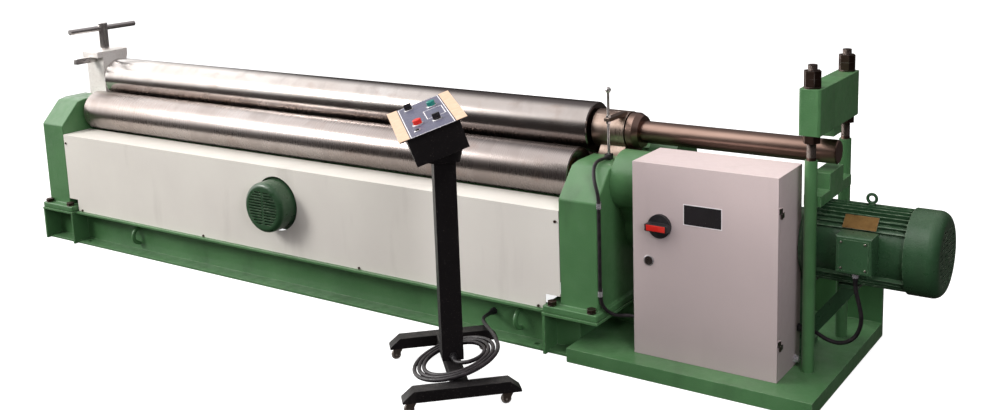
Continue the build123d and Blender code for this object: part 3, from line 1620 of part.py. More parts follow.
cabinet_gland_place = (cabinet_right, cabinet_back - 24, cabinet_floor + 146)
spare_gland_place = (cabinet_right, cabinet_back - 60, cabinet_floor + 30)


def motor_cable():
    """The cable that hangs from the terminal box and loops into the cabinet's side."""
    x, y, z = terminal_gland_place()
    cx, cy, cz = cabinet_gland_place
    z -= gland_length
    cx += gland_length
    side = (cy - y) / 3
    points = [
        (x, y, z), (x, y, z - 46), (x + 18, y + 4, z - 112), (x + 26, y + 12, z - 178),
        (x - 2, y + side, z - 250), (x - 62, y + 1.6 * side, z - 288), (x - 128, y + 2.4 * side, z - 284),
        (cx + 44, cy, cz), (cx, cy, cz),
    ]
    return tube_on(points, motor_cable_diameter)


def coil_point(p, q):
    """A point of the console coil: p out of the column's front, q along the raised side."""
    a = math.radians(coil_tilt)
    leg_top = console_leg_clearance + console_leg_height
    rest = console_leg_width / 2 * math.sin(a) + lead_diameter / 2 / math.cos(a)
    height = leg_top + rest + coil_rest_gap
    turn = math.radians(console_turn)
    along = q * math.cos(a)
    x = console_x + p * math.sin(turn) + along * math.cos(turn)
    y = console_y - p * math.cos(turn) + along * math.sin(turn)
    return Vector(x, y, height + q * math.sin(a))


coil_start_p = console_column_side / 2 + gland_length


def console_coil():
    """The loose coil round the column foot: a straight start, a bend, then half turns that grow outwards."""
    p = coil_start_p
    bend = coil_lead_in_radius
    out = p + lead_diameter
    q = 2 * bend
    edges = [
        Line(coil_point(p, 0), coil_point(out, 0)),
        ThreePointArc(coil_point(out, 0), coil_point(out + bend, bend), coil_point(out, q)),
        Line(coil_point(out, q), coil_point(p, q)),
    ]
    track = [(p + lead_diameter * i / 4, 0) for i in range(4)]
    track += half_turn_points(out, bend, bend, 1)
    track += [(out - lead_diameter * i / 4, q) for i in range(1, 4)]
    for i in range(coil_half_turns):
        radius = coil_first_radius + coil_radius_step * i
        side = -1 if i % 2 == 0 else 1
        end = q + side * 2 * radius
        middle = q + side * radius
        far = coil_point(p + side * radius, middle)
        edges.append(ThreePointArc(coil_point(p, q), far, coil_point(p, end)))
        track += half_turn_points(p, middle, radius, side)
        q = end
    edges.append(Line(coil_point(p, q), coil_point(p - lead_diameter, q)))
    length = sum(edge.length for edge in edges)
    print("coil length", round(length, 1), "least gap", round(least_gap(track), 2))
    return edges, coil_point(p - lead_diameter, q)


def half_turn_points(p, middle, radius, side):
    """Points of a half turn of the coil, in the coil's own plane."""
    steps = 48
    angles = [math.pi * k / steps for k in range(steps + 1)]
    return [(p + side * radius * math.sin(a), middle - side * radius * math.cos(a)) for a in angles]


def least_gap(track):
    """The least clear gap of the coil to itself, between points more than a quarter turn apart."""
    apart = 24
    gaps = []
    for i, (p, q) in enumerate(track):
        for a, b in track[i + apart:]:
            gaps.append(math.hypot(a - p, b - q))
    return min(gaps) - lead_diameter


def coil_tube():
    """The coil as one unbroken tube."""
    edges, _ = console_coil()
    path = Wire(edges)
    start = Plane(edges[0] @ 0, z_dir=edges[0] % 0)
    return sweep(start * Circle(lead_diameter / 2), path=path)


base_gland_x = 1255.0
base_gland_z = 100.0


def console_lead():
    """The lead from the coil down to the floor and up into the base frame."""
    start = console_coil()[1]
    turn = math.radians(console_turn)
    away = Vector(-math.sin(turn), math.cos(turn), 0)
    end_y = -(base_depth / 2 - base_flange_width) - gland_length
    p1 = start + away * 64
    p2 = p1 + away * 90 + Vector(0, 0, -14)
    p3 = p2 + away * 100 + Vector(-2, 0, -19)
    p4 = p3 + away * 95 + Vector(2, 0, -12)
    points = [
        tuple(start), tuple(p1), tuple(p2), tuple(p3), tuple(p4),
        (base_gland_x, end_y - 58, base_gland_z), (base_gland_x, end_y, base_gland_z),
    ]
    return tube_on(points, lead_diameter)


column_front = Vector(math.sin(math.radians(console_turn)), -math.cos(math.radians(console_turn)), 0)
column_face = coil_point(console_column_side / 2, 0)
base_web = -(base_depth / 2 - base_flange_width)
save(
    "cable_glands",
    gland(*terminal_gland_place(), (0, 0, -1)),
    gland(*cabinet_gland_place, (1, 0, 0)),
    gland(*spare_gland_place, (1, 0, 0)),
    gland(column_face.X, column_face.Y, column_face.Z, column_front),
    gland(base_gland_x, base_web, base_gland_z, (0, -1, 0)),
)
save("motor_cable", motor_cable())
save("console_coil", coil_tube())
save("console_lead", console_lead())
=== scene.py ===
"""Looks of the plate rolling machine: studio, cables, softened metalwork, fittings and finishes."""

import json
import logging
import math
from collections.abc import Iterable
from dataclasses import dataclass
from enum import Enum

import bpy
from mathutils import Matrix, Vector

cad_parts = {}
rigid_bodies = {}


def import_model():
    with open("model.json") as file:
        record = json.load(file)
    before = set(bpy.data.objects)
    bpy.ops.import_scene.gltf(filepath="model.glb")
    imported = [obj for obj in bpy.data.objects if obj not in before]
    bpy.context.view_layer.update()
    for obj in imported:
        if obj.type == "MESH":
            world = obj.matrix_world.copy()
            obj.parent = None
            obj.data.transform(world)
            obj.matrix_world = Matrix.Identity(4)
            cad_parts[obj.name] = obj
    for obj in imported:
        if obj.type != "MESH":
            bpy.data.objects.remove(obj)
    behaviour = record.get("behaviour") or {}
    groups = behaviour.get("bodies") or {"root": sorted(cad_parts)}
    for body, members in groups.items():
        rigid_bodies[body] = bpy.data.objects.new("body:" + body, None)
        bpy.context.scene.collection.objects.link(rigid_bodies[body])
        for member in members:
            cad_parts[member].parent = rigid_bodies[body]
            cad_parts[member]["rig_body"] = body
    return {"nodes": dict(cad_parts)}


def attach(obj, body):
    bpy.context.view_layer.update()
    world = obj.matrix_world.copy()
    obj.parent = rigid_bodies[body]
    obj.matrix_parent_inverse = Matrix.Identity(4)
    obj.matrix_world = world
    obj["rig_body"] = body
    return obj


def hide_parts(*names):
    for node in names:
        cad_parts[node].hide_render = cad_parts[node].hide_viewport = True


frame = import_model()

log = logging.getLogger("plate_roller")
Point = tuple[float, float, float]
Colour = tuple[float, float, float]
Socket = bpy.types.NodeSocket
Piece = bpy.types.Object
Material = bpy.types.Material
MM = 0.001
MERGE_WITHIN = 0.00002
FLAT_WITHIN_DEGREES = 0.6


class Way(Enum):
    """The direction that a piece points to."""

    RIGHT = (1, 0, 0)
    LEFT = (-1, 0, 0)
    FRONT = (0, -1, 0)
    UP = (0, 0, 1)
    DOWN = (0, 0, -1)

    def at(self, place: Point) -> Matrix:
        """A frame at a place whose Z axis points this way."""
        return Matrix.Translation(place) @ Vector(self.value).to_track_quat("Z", "Y").to_matrix().to_4x4()


class Slot(Enum):
    """The record's material slots."""

    GREEN = "green_paint"
    WHITE = "white_paint"
    BLACK = "black_paint"
    BRIGHT = "bright_steel"
    DARK = "dark_steel"
    ZINC = "zinc"
    BRONZE = "bronze"
    PLASTIC = "black_plastic"
    RED = "red_plastic"
    SHEATH = "black_rubber"


def linear(colour: Colour) -> tuple[float, float, float, float]:
    """Turns a colour seen on a screen into the shader's linear one.

    Args:
        colour: Red, green and blue from 0 to 255.

    Returns:
        The linear colour with full opacity.
    """
    parts = [c / 255 for c in colour]
    red, green, blue = (c / 12.92 if c <= 0.04045 else ((c + 0.055) / 1.055) ** 2.4 for c in parts)
    return red, green, blue, 1.0


class Graph:
    """A tree of shader nodes, laid down one by one."""

    def __init__(self, tree: bpy.types.NodeTree) -> None:
        """Starts on the nodes of a material or of the world."""
        self.tree = tree

    def add(self, kind: str, **settings: object) -> bpy.types.Node:
        """Adds a node.

        Args:
            kind: The node's type.
            settings: Values of the node's own properties.

        Returns:
            The new node.
        """
        node = self.tree.nodes.new(kind)
        for name, value in settings.items():
            setattr(node, name, value)
        return node

    def feed(self, target: Socket, value: object) -> None:
        """Links a socket or sets a constant.

        Args:
            target: The input.
            value: An output socket, or a constant.
        """
        if isinstance(value, Socket):
            self.tree.links.new(value, target)
        else:
            target.default_value = value

    def span(self, value: object, low: float, high: float, to: tuple[float, float] = (0, 1)) -> Socket:
        """Maps a range of a value to another range.

        Args:
            value: The value.
            low: Where the range starts.
            high: Where it ends.
            to: The new range.

        Returns:
            The mapped value.
        """
        node = self.add("ShaderNodeMapRange")
        names = ("Value", "From Min", "From Max", "To Min", "To Max")
        for name, entry in zip(names, (value, low, high, *to)):
            self.feed(node.inputs[name], entry)
        return node.outputs["Result"]

    def calc(self, operation: str, a: object, b: object) -> Socket:
        """One step of arithmetic.

        Args:
            operation: The Math node's operation.
            a: The first value.
            b: The second value.

        Returns:
            The result.
        """
        node = self.add("ShaderNodeMath", operation=operation)
        self.feed(node.inputs[0], a)
        self.feed(node.inputs[1], b)
        return node.outputs[0]

    def blend(self, share: object, a: object, b: object) -> Socket:
        """Mixes two colours.

        Args:
            share: How much of the second.
            a: The first colour.
            b: The second colour.

        Returns:
            The mixed colour.
        """
        node = self.add("ShaderNodeMix", data_type="RGBA")
        self.feed(node.inputs["Factor"], share)
        self.feed(node.inputs["A"], a)
        self.feed(node.inputs["B"], b)
        return node.outputs["Result"]

    def toward(self, way: object, aim: Point, low: float, high: float) -> Socket:
        """A mask round a direction.

        Args:
            way: The direction that is looked in.
            aim: The middle of the mask.
            low: The cosine where the mask starts.
            high: The cosine where it is full.

        Returns:
            The mask.
        """
        dot = self.add("ShaderNodeVectorMath", operation="DOT_PRODUCT")
        self.feed(dot.inputs[0], way)
        self.feed(dot.inputs[1], aim)
        return self.span(dot.outputs["Value"], low, high)


class Recipe(Graph):
    """The nodes of one material."""

    def __init__(self, name: str) -> None:
        """Starts a material with its shader and Object coordinates.

        Args:
            name: The material's name.
        """
        self.material = bpy.data.materials.new(name)
        self.material.use_nodes = True
        super().__init__(self.material.node_tree)
        self.shader = self.tree.nodes["Principled BSDF"]
        self.coords = self.add("ShaderNodeTexCoord").outputs["Object"]

    def stretched(self, stretch: Point) -> Socket:
        """Object coordinates scaled along each axis.

        Args:
            stretch: The scale along X, Y and Z.

        Returns:
            The scaled coordinates.
        """
        node = self.add("ShaderNodeMapping")
        self.feed(node.inputs["Vector"], self.coords)
        node.inputs["Scale"].default_value = stretch
        return node.outputs["Vector"]

    def noise(self, scale: float, detail: float = 3.0, stretch: Point = (1, 1, 1)) -> Socket:
        """Cloudy noise.

        Args:
            scale: Cells per metre.
            detail: Octaves.
            stretch: The scale along each axis.

        Returns:
            The noise value.
        """
        node = self.add("ShaderNodeTexNoise")
        self.feed(node.inputs["Vector"], self.stretched(stretch))
        node.inputs["Scale"].default_value = scale
        node.inputs["Detail"].default_value = detail
        return node.outputs["Fac"]

    def along(self, axis: str) -> Socket:
        """The place along one axis.

        Args:
            axis: X, Y or Z.

        Returns:
            The place in metres.
        """
        split = self.add("ShaderNodeSeparateXYZ")
        self.feed(split.inputs[0], self.coords)
        return split.outputs[axis]

    def facing_up(self) -> Socket:
        """How far a surface faces up.

        Returns:
            One on a level top and nought on a wall.
        """
        split = self.add("ShaderNodeSeparateXYZ")
        self.feed(split.inputs[0], self.add("ShaderNodeNewGeometry").outputs["Normal"])
        return self.span(split.outputs["Z"], 0.35, 0.95)

    def edges(self, reach: float) -> Socket:
        """A mask along the edges.

        Args:
            reach: How far from an edge the mask starts.

        Returns:
            One at an edge and nought on a flat.
        """
        rounded = self.add("ShaderNodeBevel", samples=4)
        rounded.inputs["Radius"].default_value = reach
        dot = self.add("ShaderNodeVectorMath", operation="DOT_PRODUCT")
        self.feed(dot.inputs[0], rounded.outputs["Normal"])
        self.feed(dot.inputs[1], self.add("ShaderNodeNewGeometry").outputs["Normal"])
        return self.span(dot.outputs["Value"], 0.985, 0.86)

    def bump(self, height: object, depth: float, under: object = None) -> Socket:
        """Raises the surface by a height.

        Args:
            height: The height from 0 to 1.
            depth: The depth in metres.
            under: A bump beneath this one.

        Returns:
            The normal.
        """
        node = self.add("ShaderNodeBump")
        node.inputs["Strength"].default_value = 1.0
        node.inputs["Distance"].default_value = depth
        self.feed(node.inputs["Height"], height)
        if under is not None:
            self.feed(node.inputs["Normal"], under)
        return node.outputs["Normal"]

    def finish(
        self, colour: object, roughness: object, normal: object = None, metal: float = 0.0, coat: float = 0.0,
    ) -> Material:
        """Sets the shader and hands the material over.

        Args:
            colour: Base colour.
            roughness: Roughness.
            normal: The bumped normal.
            metal: Metallic share.
            coat: Clear coat weight.

        Returns:
            The material.
        """
        self.feed(self.shader.inputs["Base Color"], colour)
        self.feed(self.shader.inputs["Roughness"], roughness)
        self.shader.inputs["Metallic"].default_value = metal
        self.shader.inputs["Coat Weight"].default_value = coat
        self.shader.inputs["Coat Roughness"].default_value = 0.12
        if normal is not None:
            self.feed(self.shader.inputs["Normal"], normal)
        return self.material


@dataclass(frozen=True)
class Enamel:
    """Brushed machine enamel: uneven colour, orange peel, dust on top and rubbed edges."""

    name: str
    colour: Colour
    patch: Colour
    rubbed: Colour = (150, 168, 142)
    dust: Colour = (128, 138, 122)
    dusty: float = 0.14
    roughness: float = 0.36

    def make(self) -> Material:
        """Mixes the enamel.

        Returns:
            The material.
        """
        mix = Recipe(self.name)
        cloud = mix.span(mix.noise(3.2, 5.0), 0.35, 0.68)
        colour = mix.blend(cloud, linear(self.colour), linear(self.patch))
        speck = mix.span(mix.noise(420, 2.0), 0.62, 0.72, (0, 0.25))
        colour = mix.blend(speck, colour, linear(self.dust))
        grime = mix.span(mix.noise(9.0, 6.0, (1, 1, 0.25)), 0.56, 0.75, (0, 0.3))
        colour = mix.blend(grime, colour, linear((38, 48, 36)))
        patches = mix.span(mix.noise(14, 6.0), 0.3, 0.75, (0.02, self.dusty))
        settled = mix.calc("MULTIPLY", mix.facing_up(), patches)
        colour = mix.blend(settled, colour, linear(self.dust))
        worn = mix.calc("MULTIPLY", mix.edges(0.004), mix.span(mix.noise(38, 4.0), 0.42, 0.62))
        colour = mix.blend(mix.calc("MULTIPLY", worn, 0.65), colour, linear(self.rubbed))
        rough = mix.span(mix.noise(24, 5.0), 0.3, 0.7, (self.roughness - 0.08, self.roughness + 0.16))
        peel = mix.bump(mix.noise(190, 2.0), 0.0006)
        normal = mix.bump(mix.noise(16, 3.0), 0.0016, peel)
        return mix.finish(colour, rough, normal, coat=0.15)


@dataclass(frozen=True)
class PowderCoat:
    """Fine textured coat on sheet metal, slightly handled and dusty, with painted shade darkening it towards
    the bottom.
    """

    name: str
    colour: Colour
    patch: Colour
    grain: float = 900.0
    roughness: float = 0.5
    # How far painted shade darkens the coat towards the bottom.
    painted_shade_below: float = 0.0

    def make(self) -> Material:
        """Mixes the coat.

        Returns:
            The material.
        """
        mix = Recipe(self.name)
        colour = mix.blend(mix.span(mix.noise(2.2, 4.0), 0.35, 0.7), linear(self.colour), linear(self.patch))
        # Painted shade: the coat turns greyer and darker towards the bottom, standing in for less light
        # falling low down.
        low = mix.span(mix.along("Z"), 0.75, 0.15, (0, self.painted_shade_below))
        colour = mix.blend(low, colour, linear((92, 88, 88)))
        streak = mix.span(mix.noise(7.0, 6.0, (1, 1, 0.2)), 0.6, 0.78, (0, 0.22))
        colour = mix.blend(streak, colour, linear((150, 142, 134)))
        spots = mix.span(mix.noise(260, 3.0), 0.66, 0.74, (0, 0.35))
        colour = mix.blend(spots, colour, linear((168, 160, 152)))
        worn = mix.calc("MULTIPLY", mix.edges(0.003), mix.span(mix.noise(45, 4.0), 0.48, 0.66, (0, 0.4)))
        colour = mix.blend(worn, colour, linear((128, 120, 116)))
        rough = mix.span(mix.noise(30, 4.0), 0.3, 0.7, (self.roughness - 0.06, self.roughness + 0.12))
        normal = mix.bump(mix.noise(self.grain, 2.0), 0.00022)
        return mix.finish(colour, rough, mix.bump(mix.noise(2.6, 2.0), 0.004, normal))


@dataclass(frozen=True)
class RollSteel:
    """Ground roll surface with faint rings, rust bloom and an oil film, browned along the tail and darkened
    towards the right end by painted shade.
    """

    name: str
    colour: Colour
    warm: Colour
    roughness: float = 0.24
    rust: float = 0.3
    # How far painted shade darkens the roll towards its right end.
    right_painted_shade: float = 0.55
    brown_from: float = 1.605

    def make(self) -> Material:
        """Mixes the steel.

        Returns:
            The material.
        """
        mix = Recipe(self.name)
        cloud = mix.span(mix.noise(2.4, 6.0, (0.6, 1.5, 1.5)), 0.36, 0.66)
        colour = mix.blend(cloud, linear(self.colour), linear(self.warm))
        # Painted shade: the steel darkens steadily from left to right, standing in for less light reaching
        # the right end.
        rightward_painted_shade = mix.span(mix.along("X"), -0.9, 1.0, (0, self.right_painted_shade))
        colour = mix.blend(rightward_painted_shade, colour, linear((92, 80, 76)))
        bloom = mix.span(mix.noise(11, 8.0, (0.6, 1, 1)), 0.56, 0.78, (0, self.rust))
        colour = mix.blend(bloom, colour, linear((112, 74, 52)))
        smear = mix.span(mix.noise(3.0, 7.0, (2.4, 1, 1)), 0.52, 0.74, (0, 0.3))
        colour = mix.blend(smear, colour, linear((96, 84, 78)))
        tail = mix.span(mix.along("X"), self.brown_from, self.brown_from + 0.01)
        colour = mix.blend(tail, colour, mix.blend(cloud, linear((170, 143, 131)), linear((126, 102, 91))))
        ring = mix.noise(1.0, 2.0, (340, 1.0, 1.0))
        rough = mix.span(ring, 0.25, 0.75, (self.roughness - 0.01, self.roughness + 0.015))
        rough = mix.calc("ADD", rough, mix.calc("MULTIPLY", smear, 0.2))
        rough = mix.calc("ADD", rough, mix.calc("MULTIPLY", tail, 0.1))
        return mix.finish(colour, rough, mix.bump(ring, 0.000003), metal=1.0)


@dataclass(frozen=True)
class MachinedSteel:
    """Turned or milled steel with cutter marks, stains and bright rubbed edges."""

    name: str
    colour: Colour
    stain: Colour
    roughness: float = 0.36
    marks: Point = (260, 6, 6)
    stained: float = 0.5
    metal: float = 1.0
    pitted: float = 0.4

    def make(self) -> Material:
        """Mixes the steel.

        Returns:
            The material.
        """
        mix = Recipe(self.name)
        patch = mix.span(mix.noise(13, 7.0), 0.42, 0.68, (0, self.stained))
        colour = mix.blend(patch, linear(self.colour), linear(self.stain))
        pits = mix.span(mix.noise(160, 4.0), 0.6, 0.7, (0, self.pitted))
        colour = mix.blend(pits, colour, linear((58, 50, 46)))
        worn = mix.calc("MULTIPLY", mix.edges(0.0025), 0.5)
        colour = mix.blend(worn, colour, linear((214, 208, 202)))
        cut = mix.noise(1.0, 3.0, self.marks)
        rough = mix.span(cut, 0.3, 0.7, (self.roughness - 0.08, self.roughness + 0.1))
        rough = mix.calc("ADD", rough, mix.calc("MULTIPLY", patch, 0.25))
        return mix.finish(colour, rough, mix.bump(cut, 0.00012), metal=self.metal)


@dataclass(frozen=True)
class Moulding:
    """Moulded plastic or rubber with a fine grain and rubbed high spots."""

    name: str
    colour: Colour
    rubbed: Colour
    roughness: float = 0.45
    grain: float = 700.0
    depth: float = 0.0001

    def make(self) -> Material:
        """Mixes the plastic.

        Returns:
            The material.
        """
        mix = Recipe(self.name)
        cloud = mix.span(mix.noise(40, 5.0), 0.4, 0.72, (0, 0.45))
        colour = mix.blend(cloud, linear(self.colour), linear(self.rubbed))
        worn = mix.calc("MULTIPLY", mix.edges(0.0015), 0.35)
        colour = mix.blend(worn, colour, linear(self.rubbed))
        rough = mix.span(mix.noise(60, 4.0), 0.3, 0.7, (self.roughness - 0.08, self.roughness + 0.12))
        return mix.finish(colour, rough, mix.bump(mix.noise(self.grain, 2.0), self.depth))


GREEN = Enamel("green_enamel", (78, 121, 77), (65, 106, 65)).make()
GREEN_CAST = Enamel("green_enamel_on_castings", (48, 80, 52), (36, 65, 41), roughness=0.3).make()
COVER_WHITE = PowderCoat("cover_coat", (221, 217, 209), (213, 208, 201)).make()
# The cabinet's coat carries painted shade that darkens its lower part.
CABINET_WHITE = PowderCoat("cabinet_coat", (204, 188, 186), (196, 181, 180), 1400.0, 0.46, 0.4).make()
BLACK = PowderCoat("console_coat", (17, 15, 16), (24, 22, 23), 800.0, 0.42).make()
ROLL = RollSteel("ground_roll_steel", (204, 200, 198), (186, 178, 173), 0.2).make()
# A darker copy of the roll steel for the lower rolls: the darker colour is painted shade that dims their
# highlight, and the higher roughness is their own surface.
LOWER_ROLL = RollSteel("shaded_lower_roll_steel", (184, 177, 175), (158, 147, 142), 0.27).make()
ARM = MachinedSteel("arm_steel", (240, 235, 231), (206, 196, 188), 0.42, (8, 8, 180), 0.35, 0.3).make()
BARE = MachinedSteel("bare_machined_steel", (176, 156, 144), (120, 92, 76), 0.34).make()
DARK = MachinedSteel("dark_machined_steel", (120, 112, 108), (84, 70, 62), 0.4).make()
NUT_BROWN = MachinedSteel("browned_nut_steel", (92, 74, 66), (60, 46, 40), 0.42, (40, 40, 220)).make()
BRIGHT = MachinedSteel(
    "bright_bar_steel", (214, 213, 218), (178, 174, 174), 0.24, (6, 6, 240), 0.3, 0.75, 0.2,
).make()
ROD = MachinedSteel(
    "bright_rod_steel", (226, 222, 220), (188, 180, 176), 0.16, (4, 4, 30), 0.2, 0.9, 0.05,
).make()
ZINC = MachinedSteel("plated_steel", (190, 182, 172), (140, 122, 106), 0.36, (60, 60, 60)).make()
BRONZE = MachinedSteel("bored_bronze", (176, 132, 78), (120, 84, 48), 0.36).make()
PLASTIC = Moulding("black_moulding", (26, 25, 27), (58, 56, 58)).make()
RED = Moulding("red_moulding", (206, 34, 26), (222, 84, 70), 0.34).make()
GO_GREEN = Moulding("green_moulding", (16, 112, 104), (60, 150, 142), 0.34).make()
SHEATH = Moulding("cable_sheath", (24, 21, 24), (66, 58, 62), 0.4, 420.0, 0.0002).make()
TREAD = Moulding("castor_tread", (120, 112, 104), (168, 160, 148), 0.55, 300.0, 0.0003).make()
STRIP = Moulding("tan_strip", (204, 172, 144), (218, 194, 170), 0.5, 240.0, 0.0002).make()
PANEL_GREY = PowderCoat("panel_sheet", (92, 92, 112), (84, 84, 102), 1200.0, 0.4).make()
PANEL_WHITE = Moulding("panel_line", (236, 232, 232), (214, 210, 210), 0.5).make()
PLATE_BLACK = PowderCoat("bare_black_plate", (30, 28, 30), (40, 37, 39), 900.0, 0.34).make()
PLATE_BROWN = MachinedSteel("bare_brown_plate", (150, 116, 72), (104, 78, 48), 0.46, (90, 6, 90)).make()


def only(piece: Piece) -> None:
    """Selects one piece alone and makes it active.

    Args:
        piece: The piece.
    """
    bpy.ops.object.select_all(action="DESELECT")
    piece.select_set(True)
    bpy.context.view_layer.objects.active = piece


def body_of(node: str) -> str:
    """The body that a CAD node rides on."""
    return frame["nodes"][node]["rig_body"]


def paint(piece: Piece, finish: Material) -> None:
    """Gives a piece one material."""
    piece.data.materials.clear()
    piece.data.materials.append(finish)


def dress(finish: Material, *nodes: str) -> None:
    """Gives CAD nodes a finish and leaves their shape.

    Args:
        finish: The material.
        nodes: The nodes' names.
    """
    for node in nodes:
        paint(frame["nodes"][node], finish)
        log.info("dressed %s", node)


def apply_all(piece: Piece) -> None:
    """Applies every modifier of a piece.

    Args:
        piece: The piece.
    """
    only(piece)
    for modifier in list(piece.modifiers):
        bpy.ops.object.modifier_apply(modifier=modifier.name)


def weigh_edges(piece: Piece, shortest: float, angle: float) -> None:
    """Marks the sharp edges that are long enough to be rounded.

    Args:
        piece: The piece.
        shortest: The length of the shortest edge that is rounded, in metres.
        angle: Edges sharper than this many degrees are rounded.
    """
    only(piece)
    bpy.ops.object.mode_set(mode="EDIT")
    bpy.ops.mesh.select_mode(type="EDGE")
    bpy.ops.mesh.select_all(action="DESELECT")
    bpy.ops.mesh.edges_select_sharp(sharpness=math.radians(angle))
    bpy.ops.object.mode_set(mode="OBJECT")
    mesh = piece.data
    weights = mesh.attributes.new("bevel_weight_edge", "FLOAT", "EDGE")
    for edge in mesh.edges:
        a, b = (mesh.vertices[i].co for i in edge.vertices)
        weights.data[edge.index].value = float(edge.select and (a - b).length >= shortest)


def round_edges(piece: Piece, width: float, segments: int = 2, angle: float = 40.0) -> None:
    """Rounds the long sharp edges and keeps flats flat in the light.

    Args:
        piece: The piece.
        width: The width of the rounding in metres.
        segments: Facets across it.
        angle: Edges sharper than this many degrees are rounded.
    """
    weigh_edges(piece, 3 * width, angle)
    bevel = piece.modifiers.new("round", "BEVEL")
    bevel.width = width
    bevel.segments = segments
    bevel.limit_method = "WEIGHT"
    bevel.use_clamp_overlap = False
    apply_all(piece)
    bpy.ops.object.shade_smooth_by_angle(angle=math.radians(angle))
    piece.modifiers.new("flats", "WEIGHTED_NORMAL").keep_sharp = True
    apply_all(piece)


def settle(piece: Piece, name: str, finish: Material, slot: Slot, body: str, *replaced: str) -> Piece:
    """Names a finished piece, paints it and lets it ride on its body.

    Args:
        piece: The piece.
        name: Its name.
        finish: Its material.
        slot: The record's slot; not used.
        body: The body that it moves with.
        replaced: CAD nodes that it stands for.

    Returns:
        The piece.
    """
    piece.name = name
    piece.data.name = name
    paint(piece, finish)
    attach(piece, body)
    if replaced:
        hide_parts(*replaced)
    log.info("built %s", name)
    return piece


def merged(node: str, whole_flats: bool = True) -> Piece:
    """A copy of a CAD node with its doubled points merged.

    Args:
        node: The node's name.
        whole_flats: Whether the triangles of each flat become one face.

    Returns:
        The copy.
    """
    piece = bpy.data.objects.new(node, frame["nodes"][node].data.copy())
    bpy.context.scene.collection.objects.link(piece)
    only(piece)
    bpy.ops.mesh.customdata_custom_splitnormals_clear()
    bpy.ops.object.mode_set(mode="EDIT")
    bpy.ops.mesh.select_all(action="SELECT")
    bpy.ops.mesh.remove_doubles(threshold=MERGE_WITHIN)
    if whole_flats:
        bpy.ops.mesh.dissolve_limited(angle_limit=math.radians(FLAT_WITHIN_DEGREES))
    bpy.ops.object.mode_set(mode="OBJECT")
    return piece


def loose_parts(node: str) -> list[tuple[Piece, Vector]]:
    """Copies the separate solids of a CAD node.

    Args:
        node: The node's name.

    Returns:
        Each copy with the middle of its box.
    """
    only(merged(node))
    bpy.ops.mesh.separate(type="LOOSE")
    parts = list(bpy.context.selected_objects)
    return [(part, sum((Vector(corner) for corner in part.bound_box), Vector()) / 8) for part in parts]


def soften(
    node: str, finish: Material, slot: Slot, width: float, segments: int = 2, whole_flats: bool = True,
) -> Piece:
    """A copy of a CAD node with rounded edges, in the node's place.

    Args:
        node: The node's name.
        finish: The material.
        slot: The record's slot.
        width: The width of the rounding in metres.
        segments: Facets across it.
        whole_flats: Whether the triangles of each flat become one face, which pierced flats can't.

    Returns:
        The piece.
    """
    piece = merged(node, whole_flats)
    round_edges(piece, width, segments)
    return settle(piece, node + "_soft", finish, slot, body_of(node), node)


def turned(
    profile: list[tuple[float, float]], place: Matrix, sides: int = 48, hollow: bool = False,
) -> Piece:
    """A turned piece: a circle extruded and resized along a profile.

    Args:
        profile: Distances along the axis and radii in metres.
        place: The frame whose Z axis is the piece's axis.
        sides: Facets round the piece.
        hollow: Whether the profile's last ring is bridged to the first, rather than both ends closed.

    Returns:
        The piece.
    """
    start, radius = profile[0]
    fill = "NOTHING" if hollow else "NGON"
    bpy.ops.object.select_all(action="DESELECT")
    bpy.ops.mesh.primitive_circle_add(vertices=sides, radius=radius, location=(0, 0, start), fill_type=fill)
    piece = bpy.context.object
    bpy.ops.object.transform_apply(location=True)
    bpy.ops.object.mode_set(mode="EDIT")
    bpy.ops.mesh.select_all(action="SELECT")
    for (low, was), (high, now) in zip(profile, profile[1:]):
        bpy.ops.mesh.extrude_region_move(TRANSFORM_OT_translate={"value": (0, 0, high - low)})
        size = now / was
        bpy.ops.transform.resize(value=(size, size, 1), center_override=(0, 0, high))
    bpy.ops.mesh.select_all(action="DESELECT")
    bpy.ops.mesh.select_non_manifold()
    if hollow:
        bpy.ops.mesh.bridge_edge_loops()
    bpy.ops.mesh.select_all(action="SELECT")
    bpy.ops.mesh.normals_make_consistent(inside=False)
    bpy.ops.object.mode_set(mode="OBJECT")
    piece.matrix_world = place
    bpy.ops.object.transform_apply(location=True, rotation=True)
    bpy.ops.object.shade_smooth_by_angle(angle=math.radians(35))
    return piece


def slab(low: Point, high: Point, rounding: float, turn: Matrix | None = None) -> Piece:
    """A block between two corners with rounded edges.

    Args:
        low: The lowest corner in metres.
        high: The highest corner.
        rounding: The width of the rounding.
        turn: Where the block's own frame stands.

    Returns:
        The piece.
    """
    middle = [(a + b) / 2 for a, b in zip(low, high)]
    size = [b - a for a, b in zip(low, high)]
    bpy.ops.object.select_all(action="DESELECT")
    bpy.ops.mesh.primitive_cube_add(size=1.0, location=middle)
    piece = bpy.context.object
    piece.scale = size
    bpy.ops.object.transform_apply(location=True, rotation=True, scale=True)
    round_edges(piece, rounding)
    if turn is not None:
        piece.matrix_world = turn
        only(piece)
        bpy.ops.object.transform_apply(location=True, rotation=True, scale=True)
    return piece


def join(first: Piece, *others: Piece) -> Piece:
    """Joins pieces into the first one.

    Args:
        first: The piece that stays.
        others: The pieces that it takes up.

    Returns:
        The joined piece.
    """
    only(first)
    for piece in others:
        piece.select_set(True)
    bpy.ops.object.join()
    return first


def copies(model: Piece, shifts: Iterable[Point]) -> list[Piece]:
    """Copies a piece, each copy with its own mesh.

    Args:
        model: The piece that is copied.
        shifts: How far each copy stands from it.

    Returns:
        The copies.
    """
    made = []
    for shift in shifts:
        piece = model.copy()
        piece.data = model.data.copy()
        bpy.context.scene.collection.objects.link(piece)
        piece.data.transform(Matrix.Translation(shift))
        made.append(piece)
    return made


